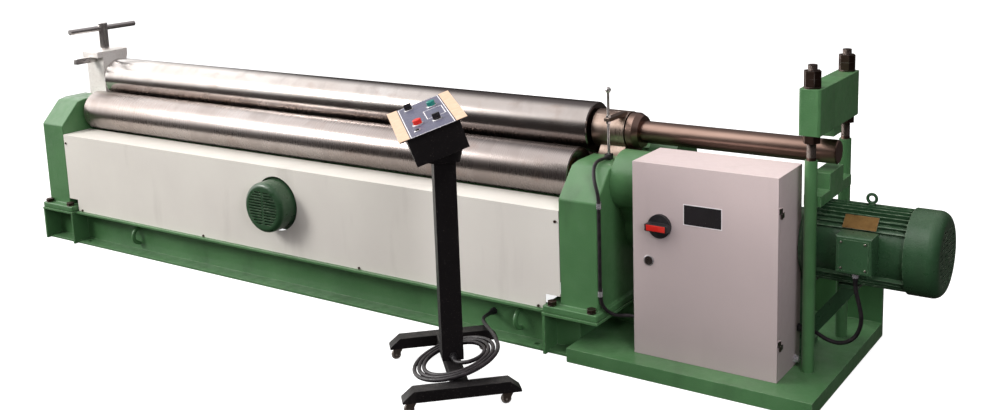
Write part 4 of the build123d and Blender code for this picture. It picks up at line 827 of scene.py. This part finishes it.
@dataclass
class Studio:
    """Camera, floor, lights and the room that the metal mirrors."""

    camera_place: Point = (4.019, -4.318, 1.987)
    azimuth: float = 34.05
    dip: float = 10.69
    roll: float = -1.91
    focal_pixels: float = 1159.0
    image_width: float = 1000.0
    sensor: float = 36.0
    shift: tuple[float, float] = (-0.002, -0.112)
    floor_size: float = 60.0
    floor_glow: float = 0.86
    window: tuple[float, float, float, float] = (2.2, 2.18, 2.16, 1)
    room: tuple[tuple[float, float, float, float], ...] = (
        (0.012, 0.01, 0.009, 1), (0.06, 0.052, 0.05, 1), (0.045, 0.037, 0.036, 1), (0.36, 0.34, 0.35, 1),
    )

    def build(self) -> None:
        """Sets up the whole studio."""
        self.build_camera()
        self.build_floor()
        self.build_lights()
        self.build_room()

    def build_camera(self) -> None:
        """Stands the camera where the photograph was taken from."""
        azimuth, dip, roll = (math.radians(a) for a in (self.azimuth, self.dip, self.roll))
        level = math.cos(dip)
        ahead = Vector((-math.sin(azimuth) * level, math.cos(azimuth) * level, -math.sin(dip)))
        right = Vector((math.cos(azimuth), math.sin(azimuth), 0))
        above = right.cross(ahead)
        side = math.cos(roll) * right + math.sin(roll) * above
        top = -math.sin(roll) * right + math.cos(roll) * above
        data = bpy.data.cameras.new("camera")
        data.sensor_fit = "HORIZONTAL"
        data.sensor_width = self.sensor
        data.lens = self.focal_pixels / self.image_width * self.sensor
        data.shift_x, data.shift_y = self.shift
        camera = bpy.data.objects.new("camera", data)
        turn = Matrix((side, top, -ahead)).transposed().to_4x4()
        camera.matrix_world = Matrix.Translation(self.camera_place) @ turn
        bpy.context.scene.collection.objects.link(camera)
        bpy.context.scene.camera = camera
        bpy.context.scene.view_settings.view_transform = "Standard"

    def build_floor(self) -> None:
        """Lays a plain pale floor that glows a little and throws no light back at the machine."""
        bpy.ops.object.select_all(action="DESELECT")
        bpy.ops.mesh.primitive_plane_add(size=self.floor_size, location=(0, 0, 0))
        floor = bpy.context.object
        floor.name = "floor"
        pale = Recipe("pale_floor")
        paint(floor, pale.finish((0.4, 0.4, 0.4, 1), 0.85))
        pale.shader.inputs["Emission Color"].default_value = (1, 1, 1, 1)
        pale.shader.inputs["Emission Strength"].default_value = self.floor_glow
        floor.visible_glossy = False
        floor.visible_diffuse = False

    def build_lights(self) -> None:
        """Hangs a key at the front left, two fills at the right and lights at front, top and back."""
        self.lamp("key", (-3.6, -3.6, 3.4), (-0.2, 0, 0.5), 1.6, 195, (1.0, 0.99, 0.96), True)
        self.lamp("near", (3.1, -1.7, 2.7), (2.5, -0.2, 0.9), 1.0, 23, (1.0, 0.96, 0.95))
        self.lamp("side", (6.0, -3.9, 2.5), (2.5, 0, 0.7), 1.6, 115, (0.93, 0.92, 1.0))
        self.lamp("front", (1.5, -6.0, 1.3), (1.0, 0, 0.4), 4.0, 34, (1.0, 0.98, 0.96))
        self.lamp("ceiling", (0.5, 0.3, 5.0), (0.5, 0, 0), 5.0, 150, (1.0, 0.99, 0.98))
        self.lamp("back", (0.0, 6.0, 2.2), (0.3, 0, 0.4), 3.0, 110, (1.0, 0.98, 0.96))

    def lamp(
        self, name: str, place: Point, target: Point, size: float, power: float, colour: Colour,
        mirrored: bool = False,
    ) -> None:
        """Hangs one square soft light.

        Args:
            name: Its name.
            place: Where it hangs.
            target: Where it points to.
            size: Its side in metres.
            power: Its power in watts.
            colour: Its colour.
            mirrored: Whether the metal mirrors it.
        """
        data = bpy.data.lights.new(name, "AREA")
        data.size, data.energy, data.color = size, power, colour
        light = bpy.data.objects.new(name, data)
        aim = (Vector(target) - Vector(place)).to_track_quat("-Z", "Y").to_matrix().to_4x4()
        light.matrix_world = Matrix.Translation(place) @ aim
        light.visible_glossy = mirrored
        bpy.context.scene.collection.objects.link(light)

    def build_room(self) -> None:
        """Surrounds the machine with a dim warm workshop and a wall of windows at the left."""
        world = bpy.data.worlds.new("room")
        world.use_nodes = True
        bpy.context.scene.world = world
        room = Graph(world.node_tree)
        way = room.add("ShaderNodeTexCoord").outputs["Generated"]
        up = (0, 0, 1)
        ground, low, high, ceiling = self.room
        colour = room.blend(room.toward(way, up, -0.75, -0.45), ground, low)
        colour = room.blend(room.toward(way, up, -0.3, 0.0), colour, high)
        colour = room.blend(room.toward(way, up, 0.3, 0.7), colour, ceiling)
        above = room.toward(way, (-0.795, 0, 0.607), 0.58, 0.7)
        beside = room.toward(way, (-0.838, -0.545, 0), 0.2, 0.45)
        window = room.calc("MULTIPLY", above, beside)
        colour = room.blend(window, colour, self.window)
        room.feed(world.node_tree.nodes["Background"].inputs["Color"], colour)


@dataclass
class Cables:
    """The motor cable, the coiled console lead, the switch conduit and their glands."""

    motor_exit: Point = (2793.5, -201.6, 471.354)
    cabinet_gland: Point = (2576.0, -141.0, 208.0)
    cable: float = 0.016
    conduit: float = 0.015
    console_place: tuple[float, float] = (1379.0, -833.0)
    console_turn: float = 44.13
    coil_tilt: float = 14.0
    coil_height: float = 116.745
    coil_start: float = 63.0
    lead_in: float = 62.0
    first_radius: float = 124.0
    radius_step: float = 9.8
    half_turns: int = 6
    steps: int = 12
    switch_exit: Point = (1742.0, -179.0, 812.0)
    housing_line: tuple[float, float] = (1817.8, -395.0)
    conduit_turn: float = 262.0
    conduit_level: float = 200.0
    conduit_end: tuple[float, float] = (1956.0, -330.0)
    lead_end: Point = (1255.0, -365.0, 100.0)
    motor_gland_above: float = 0.4
    cabinet_side: float = 2.5
    spare_gland_below: float = 0.15
    gland_rounding: float = 0.0008

    def build(self) -> None:
        """Lays all three cords and their glands."""
        self.lay("motor_cable_loop", self.motor_route(), self.cable, 0.488, "hanging", "motor_cable")
        console = ("console_coil", "console_lead")
        self.lay("console_cord", self.console_route(), self.cable, 3.53, "coiled", *console)
        self.lay("switch_conduit", self.conduit_route(), self.conduit, 0.907, "hanging", "conduit")
        self.build_glands()

    def lay(
        self, name: str, route: list[Point], diameter: float, length: float, lay: str, *nodes: str,
    ) -> None:
        """Makes one cord along its route.

        Args:
            name: The cord's name.
            route: Its points in millimetres.
            diameter: Its diameter in metres.
            length: Its real length in metres; not used.
            lay: How it lies; not used.
            nodes: The CAD nodes that it stands for.
        """
        data = bpy.data.curves.new(name, "CURVE")
        data.dimensions = "3D"
        line = data.splines.new("NURBS")
        line.points.add(len(route) - 1)
        for point, (x, y, z) in zip(line.points, route):
            point.co = (x * MM, y * MM, z * MM, 1)
        line.order_u = 3
        line.use_endpoint_u = True
        line.resolution_u = 6
        data.bevel_depth = diameter / 2
        data.bevel_resolution = 5
        data.use_fill_caps = True
        cord = bpy.data.objects.new(name, data)
        bpy.context.scene.collection.objects.link(cord)
        settle(cord, name, SHEATH, Slot.SHEATH, "frame", *nodes)

    def motor_route(self) -> list[Point]:
        """The loop from the terminal box into the cabinet's side.

        Returns:
            The route's points in millimetres.
        """
        x, y, z = self.motor_exit
        cx, cy, cz = self.cabinet_gland
        side = (cy - y) / 3
        return [
            (x, y, z), (x, y, z - 46), (x + 18, y + 4, z - 112), (x + 26, y + 12, z - 178),
            (x - 2, y + side, z - 250), (x - 62, y + 1.6 * side, z - 288), (x - 128, y + 2.4 * side, z - 284),
            (cx + 44, cy, cz), (cx, cy, cz),
        ]

    def coil_point(self, p: float, q: float) -> Point:
        """A point of the coil's tilted plane.

        Args:
            p: How far out of the column's front.
            q: How far along the raised side.

        Returns:
            The point in millimetres.
        """
        turn, tilt = math.radians(self.console_turn), math.radians(self.coil_tilt)
        along = q * math.cos(tilt)
        x = self.console_place[0] + p * math.sin(turn) + along * math.cos(turn)
        y = self.console_place[1] - p * math.cos(turn) + along * math.sin(turn)
        return x, y, self.coil_height + q * math.sin(tilt)

    def half_turn(self, p: float, middle: float, radius: float, side: int) -> list[Point]:
        """Points of half a turn of the coil after its start.

        Args:
            p: Where the half turn starts.
            middle: Its centre along the raised side.
            radius: Its radius.
            side: Out of the column's front or behind it.

        Returns:
            The points in millimetres.
        """
        angles = [math.pi * k / self.steps for k in range(1, self.steps + 1)]
        reach = side * radius
        return [self.coil_point(p + reach * math.sin(a), middle - reach * math.cos(a)) for a in angles]

    def console_route(self) -> list[Point]:
        """The coil round the column's foot and the lead into the base frame.

        Returns:
            The route's points in millimetres.
        """
        p, bend = self.coil_start, self.lead_in
        out = p + self.cable / MM
        route = [self.coil_point(p, 0), self.coil_point(out, 0)]
        route += self.half_turn(out, bend, bend, 1)
        q = 2 * bend
        route.append(self.coil_point(p, q))
        for i in range(self.half_turns):
            radius = self.first_radius + self.radius_step * i
            side = -1 if i % 2 == 0 else 1
            route += self.half_turn(p, q + side * radius, radius, side)
            q += side * 2 * radius
        turn = math.radians(self.console_turn)
        away = Vector((-math.sin(turn), math.cos(turn), 0))
        start = Vector(self.coil_point(p - self.cable / MM, q))
        p1 = start + 64 * away
        p2 = p1 + 90 * away + Vector((0, 0, -14))
        p3 = p2 + 100 * away + Vector((-2, 0, -19))
        p4 = p3 + 95 * away + Vector((2, 0, -12))
        x, y, z = self.lead_end
        return route + [tuple(v) for v in (start, p1, p2, p3, p4)] + [(x, y - 58, z), (x, y, z)]

    def conduit_route(self) -> list[Point]:
        """From the switch over the housing's shoulder, down its side and into the cabinet.

        Returns:
            The route's points in millimetres.
        """
        rx, start, z = self.switch_exit
        x, y = self.housing_line
        over = y + 133
        top = z - 108
        drop = (top - self.conduit_turn) / 4
        dx, dy = self.conduit_end[0] - x, self.conduit_end[1] - y
        level = self.conduit_level
        return [
            (rx, start, z), (rx, (start + over) / 2, z), (rx, over, z + 3), (rx + 8, y + 89, z - 7),
            (rx + 27, y + 47, z - 31), (rx + 51, y + 15, z - 62), (x, y, top), (x, y - 0.5, top - drop),
            (x, y, top - 2 * drop), (x, y - 0.5, top - 3 * drop), (x, y, self.conduit_turn),
            (x + 0.138 * dx, y + 0.18 * dy, level + 22.8), (x + 0.376 * dx, y + 0.515 * dy, level),
            (x + 0.645 * dx, y + 0.89 * dy, level), (x + 0.818 * dx, y + dy, level), (x + dx, y + dy, level),
        ]

    def build_glands(self) -> None:
        """Dresses the glands and slips a tapered sleeve over each cord's end."""
        for i, (part, middle) in enumerate(loose_parts("cable_glands")):
            round_edges(part, self.gland_rounding)
            on_motor = middle.z > self.motor_gland_above
            spare = middle.x > self.cabinet_side and middle.z < self.spare_gland_below
            finish, slot = (BRIGHT, Slot.BRIGHT) if on_motor or spare else (PLASTIC, Slot.PLASTIC)
            settle(part, f"gland_{i}", finish, slot, "frame", *(() if i else ("cable_glands",)))
        column = Matrix.Rotation(math.radians(self.console_turn), 4, "Z") @ Way.FRONT.at((0, 0, 0))
        ends = {
            "motor": Way.DOWN.at(self.metres(self.motor_exit)),
            "cabinet": Way.RIGHT.at(self.metres(self.cabinet_gland)),
            "column": Matrix.Translation(self.metres(self.coil_point(self.coil_start, 0))) @ column,
            "base": Way.FRONT.at(self.metres(self.lead_end)),
            "switch": Way.FRONT.at(self.metres(self.switch_exit)),
            "inlet": Way.LEFT.at(self.metres((*self.conduit_end, self.conduit_level))),
        }
        for name, place in ends.items():
            sleeve = turned([(0, 0.0108), (0.005, 0.0108), (0.008, 0.0098), (0.018, 0.0084)], place, 32)
            settle(sleeve, name + "_sleeve", PLASTIC, Slot.PLASTIC, "frame")

    def metres(self, place: Point) -> Point:
        """A place in metres."""
        return place[0] * MM, place[1] * MM, place[2] * MM


@dataclass
class Frame:
    """Base frame, drive platform, housings and front cover."""

    plate_rounding: float = 0.002
    platform_rounding: float = 0.003
    casting_rounding: float = 0.006
    sheet_rounding: float = 0.0014
    fastener_rounding: float = 0.0008
    nuts_above: float = 0.9
    clips_beyond: float = 1.8

    def build(self) -> None:
        """Softens the welded and cast frame pieces."""
        soften("base_frame", GREEN, Slot.GREEN, self.plate_rounding, whole_flats=False)
        soften("drive_platform", GREEN, Slot.GREEN, self.platform_rounding)
        for node in ("left_housing", "right_housing"):
            soften(node, GREEN, Slot.GREEN, self.casting_rounding, 3)
        soften("front_cover", COVER_WHITE, Slot.WHITE, self.sheet_rounding)
        self.build_fasteners()

    def build_fasteners(self) -> None:
        """Gives bolts, conduit clips and post nuts their own finishes."""
        for i, (part, middle) in enumerate(loose_parts("fasteners")):
            round_edges(part, self.fastener_rounding)
            clip = middle.x > self.clips_beyond and middle.z < self.nuts_above
            finish, slot = (BRIGHT, Slot.ZINC) if clip else (NUT_BROWN, Slot.DARK)
            settle(part, f"fastener_{i}", finish, slot, "frame", *(() if i else ("fasteners",)))


@dataclass
class Rolls:
    """The three rolls with their bushes."""

    def build(self) -> None:
        """Dresses the rolls."""
        dress(ROLL, "top_roll")
        dress(LOWER_ROLL, "front_lower_roll", "back_lower_roll")
        dress(BRONZE, "lower_roll_bushes", "top_roll_bush", "tipping_bush")


@dataclass
class TippingEnd:
    """The tipping bearing with its lock bar and clamp screw, on the left lift block."""

    rounding: float = 0.003
    bar_rounding: float = 0.002

    def build(self) -> None:
        """Softens the arm and its parts."""
        soften("tipping_bearing", ARM, Slot.BRIGHT, self.rounding, 3)
        soften("lock_bar", ROD, Slot.BRIGHT, self.bar_rounding)
        soften("left_lift_block", DARK, Slot.DARK, self.rounding)
        soften("clamp_screw", ROD, Slot.BRIGHT, self.bar_rounding)
        dress(BRIGHT, "tipping_pin")


@dataclass
class RightBearing:
    """The right bearing block with its limit rod and switch."""

    rounding: float = 0.003
    switch_rounding: float = 0.002

    def build(self) -> None:
        """Softens the block and dresses the switch gear."""
        soften("right_bearing_block", BARE, Slot.DARK, self.rounding)
        soften("limit_switch", PLASTIC, Slot.PLASTIC, self.switch_rounding)
        dress(ROD, "limit_rod")


@dataclass
class LiftDrive:
    """The lift motor's cowl, gear cases, cross shaft and worm wheels."""

    cowl_rounding: float = 0.0012
    case_rounding: float = 0.003

    def build(self) -> None:
        """Dresses the lift drive."""
        soften("lift_motor_cowl", GREEN_CAST, Slot.GREEN, self.cowl_rounding)
        soften("lift_gear_cases", GREEN_CAST, Slot.GREEN, self.case_rounding)
        dress(BRONZE, "right_worm_wheel", "left_worm_wheel")
        dress(DARK, "cross_shaft")


@dataclass
class MainDrive:
    """Gears, guard, reducer, motor, fan cowl and terminal box."""

    plate_place: Point = (2.781, -0.1081, 0.656)
    plate_lean: float = 43.0
    plate_half: tuple[float, float] = (0.064, 0.03)
    lid_middle: Point = (2.7935, -0.236, 0.564)
    plate_thickness: float = 0.0015
    lid_half: tuple[float, float] = (0.056, 0.061)
    lid_depth: float = 0.002
    screw_inset: float = 0.011
    guard_rounding: float = 0.0016
    reducer_rounding: float = 0.002
    box_rounding: float = 0.003
    lid_rounding: float = 0.0018

    def build(self) -> None:
        """Dresses the drive."""
        dress(DARK, "front_roll_gear", "back_roll_gear", "drive_gear", "motor_rotor")
        soften("gear_guard", GREEN, Slot.GREEN, self.guard_rounding, whole_flats=False)
        soften("reducer", GREEN_CAST, Slot.GREEN, self.reducer_rounding)
        dress(GREEN_CAST, "main_motor", "fan_cowl")
        soften("terminal_box", GREEN_CAST, Slot.GREEN, self.box_rounding, 3)
        lean = Matrix.Rotation(math.radians(self.plate_lean), 4, "X")
        tangent = Matrix.Translation(self.plate_place) @ lean
        x, y = self.plate_half
        plate = slab((-x, -y, 0), (x, y, self.plate_thickness), self.plate_thickness / 3, tangent)
        settle(plate, "motor_plate", PLATE_BROWN, Slot.BRONZE, "frame")
        self.build_lid()

    def build_lid(self) -> None:
        """Screws a raised lid to the terminal box."""
        x, y, z = self.lid_middle
        wide, high = self.lid_half
        front, back = y - self.lid_depth, y + 2 * self.lid_depth
        lid = slab((x - wide, front, z - high), (x + wide, back, z + high), self.lid_rounding)
        settle(lid, "terminal_lid", GREEN_CAST, Slot.GREEN, "frame")
        wide, high = wide - self.screw_inset, high - self.screw_inset
        corner = (x - wide, front, z - high)
        screw = turned([(0, 0.0045), (0.002, 0.0045), (0.0032, 0.003)], Way.FRONT.at(corner), 24)
        others = copies(screw, [(2 * wide, 0, 0), (0, 0, 2 * high), (2 * wide, 0, 2 * high)])
        settle(join(screw, *others), "terminal_lid_screws", ZINC, Slot.ZINC, "frame")


@dataclass
class HoldDown:
    """Posts, threaded studs and the beam over the roll's tail."""

    post_x: float = 2.619
    post_y: float = 0.203
    stud_low: float = 0.7408
    stud_top: float = 1.2638
    stud_radius: float = 0.018
    pitch: float = 0.004
    thread_from: float = 0.17
    post_rounding: float = 0.002
    beam_rounding: float = 0.004

    def build(self) -> None:
        """Softens the posts and the beam and cuts the studs' threads."""
        soften("tail_posts", GREEN, Slot.GREEN, self.post_rounding)
        soften("hold_down_beam", GREEN, Slot.GREEN, self.beam_rounding, 3)
        stud = self.stud()
        settle(stud, "front_stud", NUT_BROWN, Slot.DARK, "frame", "post_studs")
        settle(copies(stud, [(0, 2 * self.post_y, 0)])[0], "back_stud", NUT_BROWN, Slot.DARK, "frame")

    def stud(self) -> Piece:
        """The front stud with its thread above the post.

        Returns:
            The piece.
        """
        length = self.stud_top - self.stud_low
        rings = [(0, self.stud_radius), (self.thread_from, self.stud_radius)]
        for i in range(int((length - self.thread_from) / self.pitch)):
            root = self.thread_from + (i + 0.5) * self.pitch
            rings += [(root, 0.93 * self.stud_radius), (root + 0.5 * self.pitch, self.stud_radius)]
        rings.append((length, 0.86 * self.stud_radius))
        return turned(rings, Way.UP.at((self.post_x, -self.post_y, self.stud_low)), 24)


@dataclass
class Cabinet:
    """The electrical cabinet with its door and fittings."""

    front: float = -0.367
    plate_low: tuple[float, float] = (2.174, 0.631)
    plate_high: tuple[float, float] = (2.335, 0.716)
    plate_border: float = 0.0035
    grip: tuple[float, float] = (2.077, 0.614)
    grip_half: tuple[float, float] = (0.041, 0.0125)
    grip_front: float = -0.413
    lock: tuple[float, float] = (2.025, 0.464)
    hinge_axis: tuple[float, float] = (2.56, -0.345)
    hinge_lows: tuple[float, float] = (0.183, 0.702)
    hinge_height: float = 0.044
    hinge_radius: float = 0.004
    hinge_leaf: float = 0.03
    door_leaf: float = 0.018
    hinge_skin: float = 0.0004
    sheet_rounding: float = 0.0012
    handle_rounding: float = 0.002
    face_rounding: float = 0.0035
    lock_rounding: float = 0.0008

    def build(self) -> None:
        """Softens the cabinet and fits the plate, the red face, the lock's rim and the hinges."""
        soften("cabinet_body", CABINET_WHITE, Slot.WHITE, self.sheet_rounding)
        soften("cabinet_door", CABINET_WHITE, Slot.WHITE, self.sheet_rounding)
        soften("isolator_handle", PLASTIC, Slot.PLASTIC, self.handle_rounding, whole_flats=False)
        soften("door_lock", DARK, Slot.ZINC, self.lock_rounding)
        self.build_plate()
        x, z = self.grip
        wide, high = self.grip_half
        front, back = self.grip_front - 0.002, self.grip_front + 0.006
        face = slab((x - wide, front, z - high), (x + wide, back, z + high), self.face_rounding)
        settle(face, "isolator_red_face", RED, Slot.RED, "isolator")
        rim = [(0, 0.021), (0.003, 0.021), (0.004, 0.0195), (0.004, 0.018), (0, 0.018)]
        ring = turned(rim, Way.FRONT.at((self.lock[0], self.front, self.lock[1])), 48, True)
        settle(ring, "lock_rim", BRIGHT, Slot.ZINC, "door")
        for i, low in enumerate(self.hinge_lows):
            self.build_hinge(i, low)

    def build_hinge(self, i: int, low: float) -> None:
        """Covers one hinge with dark shells, the lower on the cabinet and the upper on the door.

        Args:
            i: Which hinge it is.
            low: Its lower end in metres.
        """
        x, y = self.hinge_axis
        skin, half = self.hinge_skin, self.hinge_height / 2
        out = self.hinge_radius + skin
        halves = (
            ("leaf", "frame", low, y, y + self.hinge_leaf),
            ("eye", "door", low + half, y - self.door_leaf, y),
        )
        for name, body, z, y0, y1 in halves:
            barrel = turned([(skin, out), (half - skin, out)], Way.UP.at((x, y, z)), 24)
            leaf = slab((x - out, y0, z - skin), (x + skin, y1 + skin, z + half - 2 * skin), 0.0003)
            settle(join(barrel, leaf), f"hinge_{i}_{name}", DARK, Slot.ZINC, body)

    def build_plate(self) -> None:
        """Fixes a bare black plate with a pale border to the door."""
        (x0, z0), (x1, z1), b = self.plate_low, self.plate_high, self.plate_border
        border = slab((x0, self.front - 0.0008, z0), (x1, self.front, z1), 0.0003)
        settle(border, "plate_border", PANEL_WHITE, Slot.WHITE, "door")
        field = slab((x0 + b, self.front - 0.0014, z0 + b), (x1 - b, self.front - 0.0004, z1 - b), 0.0003)
        settle(field, "plate_field", PLATE_BLACK, Slot.BLACK, "door")


@dataclass
class Console:
    """The wheeled console with its panel, controls and castors."""

    place: tuple[float, float] = (1.379, -0.833)
    turn: float = 44.13
    tilt: float = 18.2
    setback: float = 0.063
    height: float = 1.087
    half_width: float = 0.263
    half_depth: float = 0.133
    sheet_half: float = 0.0885
    line_width: float = 0.003
    strip_gap: float = 0.002
    strip_thickness: float = 0.002
    sheet_thickness: float = 0.0002
    stand_rounding: float = 0.002
    head_rounding: float = 0.0012
    collar_wall: float = 0.0045
    collars: tuple[tuple[str, tuple[float, float], float, float], ...] = (
        ("stop", (-0.040, -0.105), 0.018, 0.006),
        ("start", (0.042, 0.105), 0.018, 0.006),
        ("lift", (-0.045, 0.190), 0.0158, 0.005),
        ("turn", (0.033, -0.140), 0.0158, 0.005),
        ("lamp", (-0.053, -0.190), 0.0085, 0.004),
    )

    def build(self) -> None:
        """Dresses the console and lays out its panel."""
        soften("console_stand", BLACK, Slot.BLACK, self.stand_rounding)
        soften("console_head", BLACK, Slot.BLACK, self.head_rounding)
        dress(RED, "stop_button")
        dress(GO_GREEN, "start_button")
        dress(PLASTIC, "lift_selector", "turn_selector")
        for end in ("front_left", "back_left", "front_right", "back_right"):
            dress(ZINC, end + "_castor_fork")
            dress(TREAD, end + "_castor_wheel")
        self.build_sheets()
        self.build_bezels()

    def panel(self) -> Matrix:
        """The panel's frame.

        Returns:
            The frame, with X up the slope, Y across and Z off the panel.
        """
        stand = Matrix.Translation((*self.place, 0)) @ Matrix.Rotation(math.radians(self.turn), 4, "Z")
        slope = Matrix.Rotation(-math.radians(self.tilt), 4, "Y")
        return stand @ Matrix.Translation((-self.setback, 0, self.height)) @ slope

    def build_sheets(self) -> None:
        """Lays the two tan strips, the grey sheet and its pale lines on the panel."""
        half, edge, inner = self.half_width, self.half_depth, self.sheet_half
        gap, thick = inner + self.strip_gap, self.strip_thickness
        for name, low, high in (("low_strip", -edge, -gap), ("high_strip", gap, edge)):
            strip = slab((low, -half, 0), (high, half, thick), 0.3 * thick, self.panel())
            settle(strip, name, STRIP, Slot.PLASTIC, "frame")
        thin = self.sheet_thickness
        sheet = slab((-inner, -half, 0), (inner, half, thin), thin / 4, self.panel())
        settle(sheet, "panel_sheet", PANEL_GREY, Slot.PLASTIC, "frame")
        rim = self.outline(-inner + 0.002, -half + 0.003, inner - 0.002, half - 0.004)
        group = self.outline(0.0, -0.075, inner - 0.012, 0.07)
        settle(join(*rim, *group), "panel_lines", PANEL_WHITE, Slot.WHITE, "frame")

    def outline(self, s0: float, y0: float, s1: float, y1: float) -> list[Piece]:
        """The four sides of a rectangle of pale lines on the panel.

        Args:
            s0: Where it starts up the slope.
            y0: Where it starts across.
            s1: Where it ends up the slope.
            y1: Where it ends across.

        Returns:
            The four lines.
        """
        w, low, high = self.line_width, 0.5 * self.sheet_thickness, 1.5 * self.sheet_thickness
        sides = [
            ((s0, y0), (s0 + w, y1)), ((s1 - w, y0), (s1, y1)),
            ((s0 + w, y0), (s1 - w, y0 + w)), ((s0 + w, y1 - w), (s1 - w, y1)),
        ]
        return [slab((*a, low), (*b, high), low / 2, self.panel()) for a, b in sides]

    def build_bezels(self) -> None:
        """Sets a bright collar round each button and selector, and one round the lamp."""
        for name, (s, y), inside, height in self.collars:
            place = self.panel() @ Matrix.Translation((s, y, 0))
            out = inside + self.collar_wall
            seat, shoulder = self.sheet_thickness, height - 0.001
            rings = [(seat, out), (shoulder, out), (height, out - 0.001), (height, inside), (seat, inside)]
            settle(turned(rings, place, 48, True), name + "_collar", BRIGHT, Slot.ZINC, "frame")


def main() -> None:
    """Builds the studio, the cables and every sub-assembly."""
    logging.basicConfig(level=logging.INFO, format="%(message)s")
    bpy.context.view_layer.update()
    Studio().build()
    Cables().build()
    for assembly in (
        Frame, Rolls, TippingEnd, RightBearing, LiftDrive, MainDrive, HoldDown, Cabinet, Console,
    ):
        assembly().build()


if __name__ == "__main__":
    main()
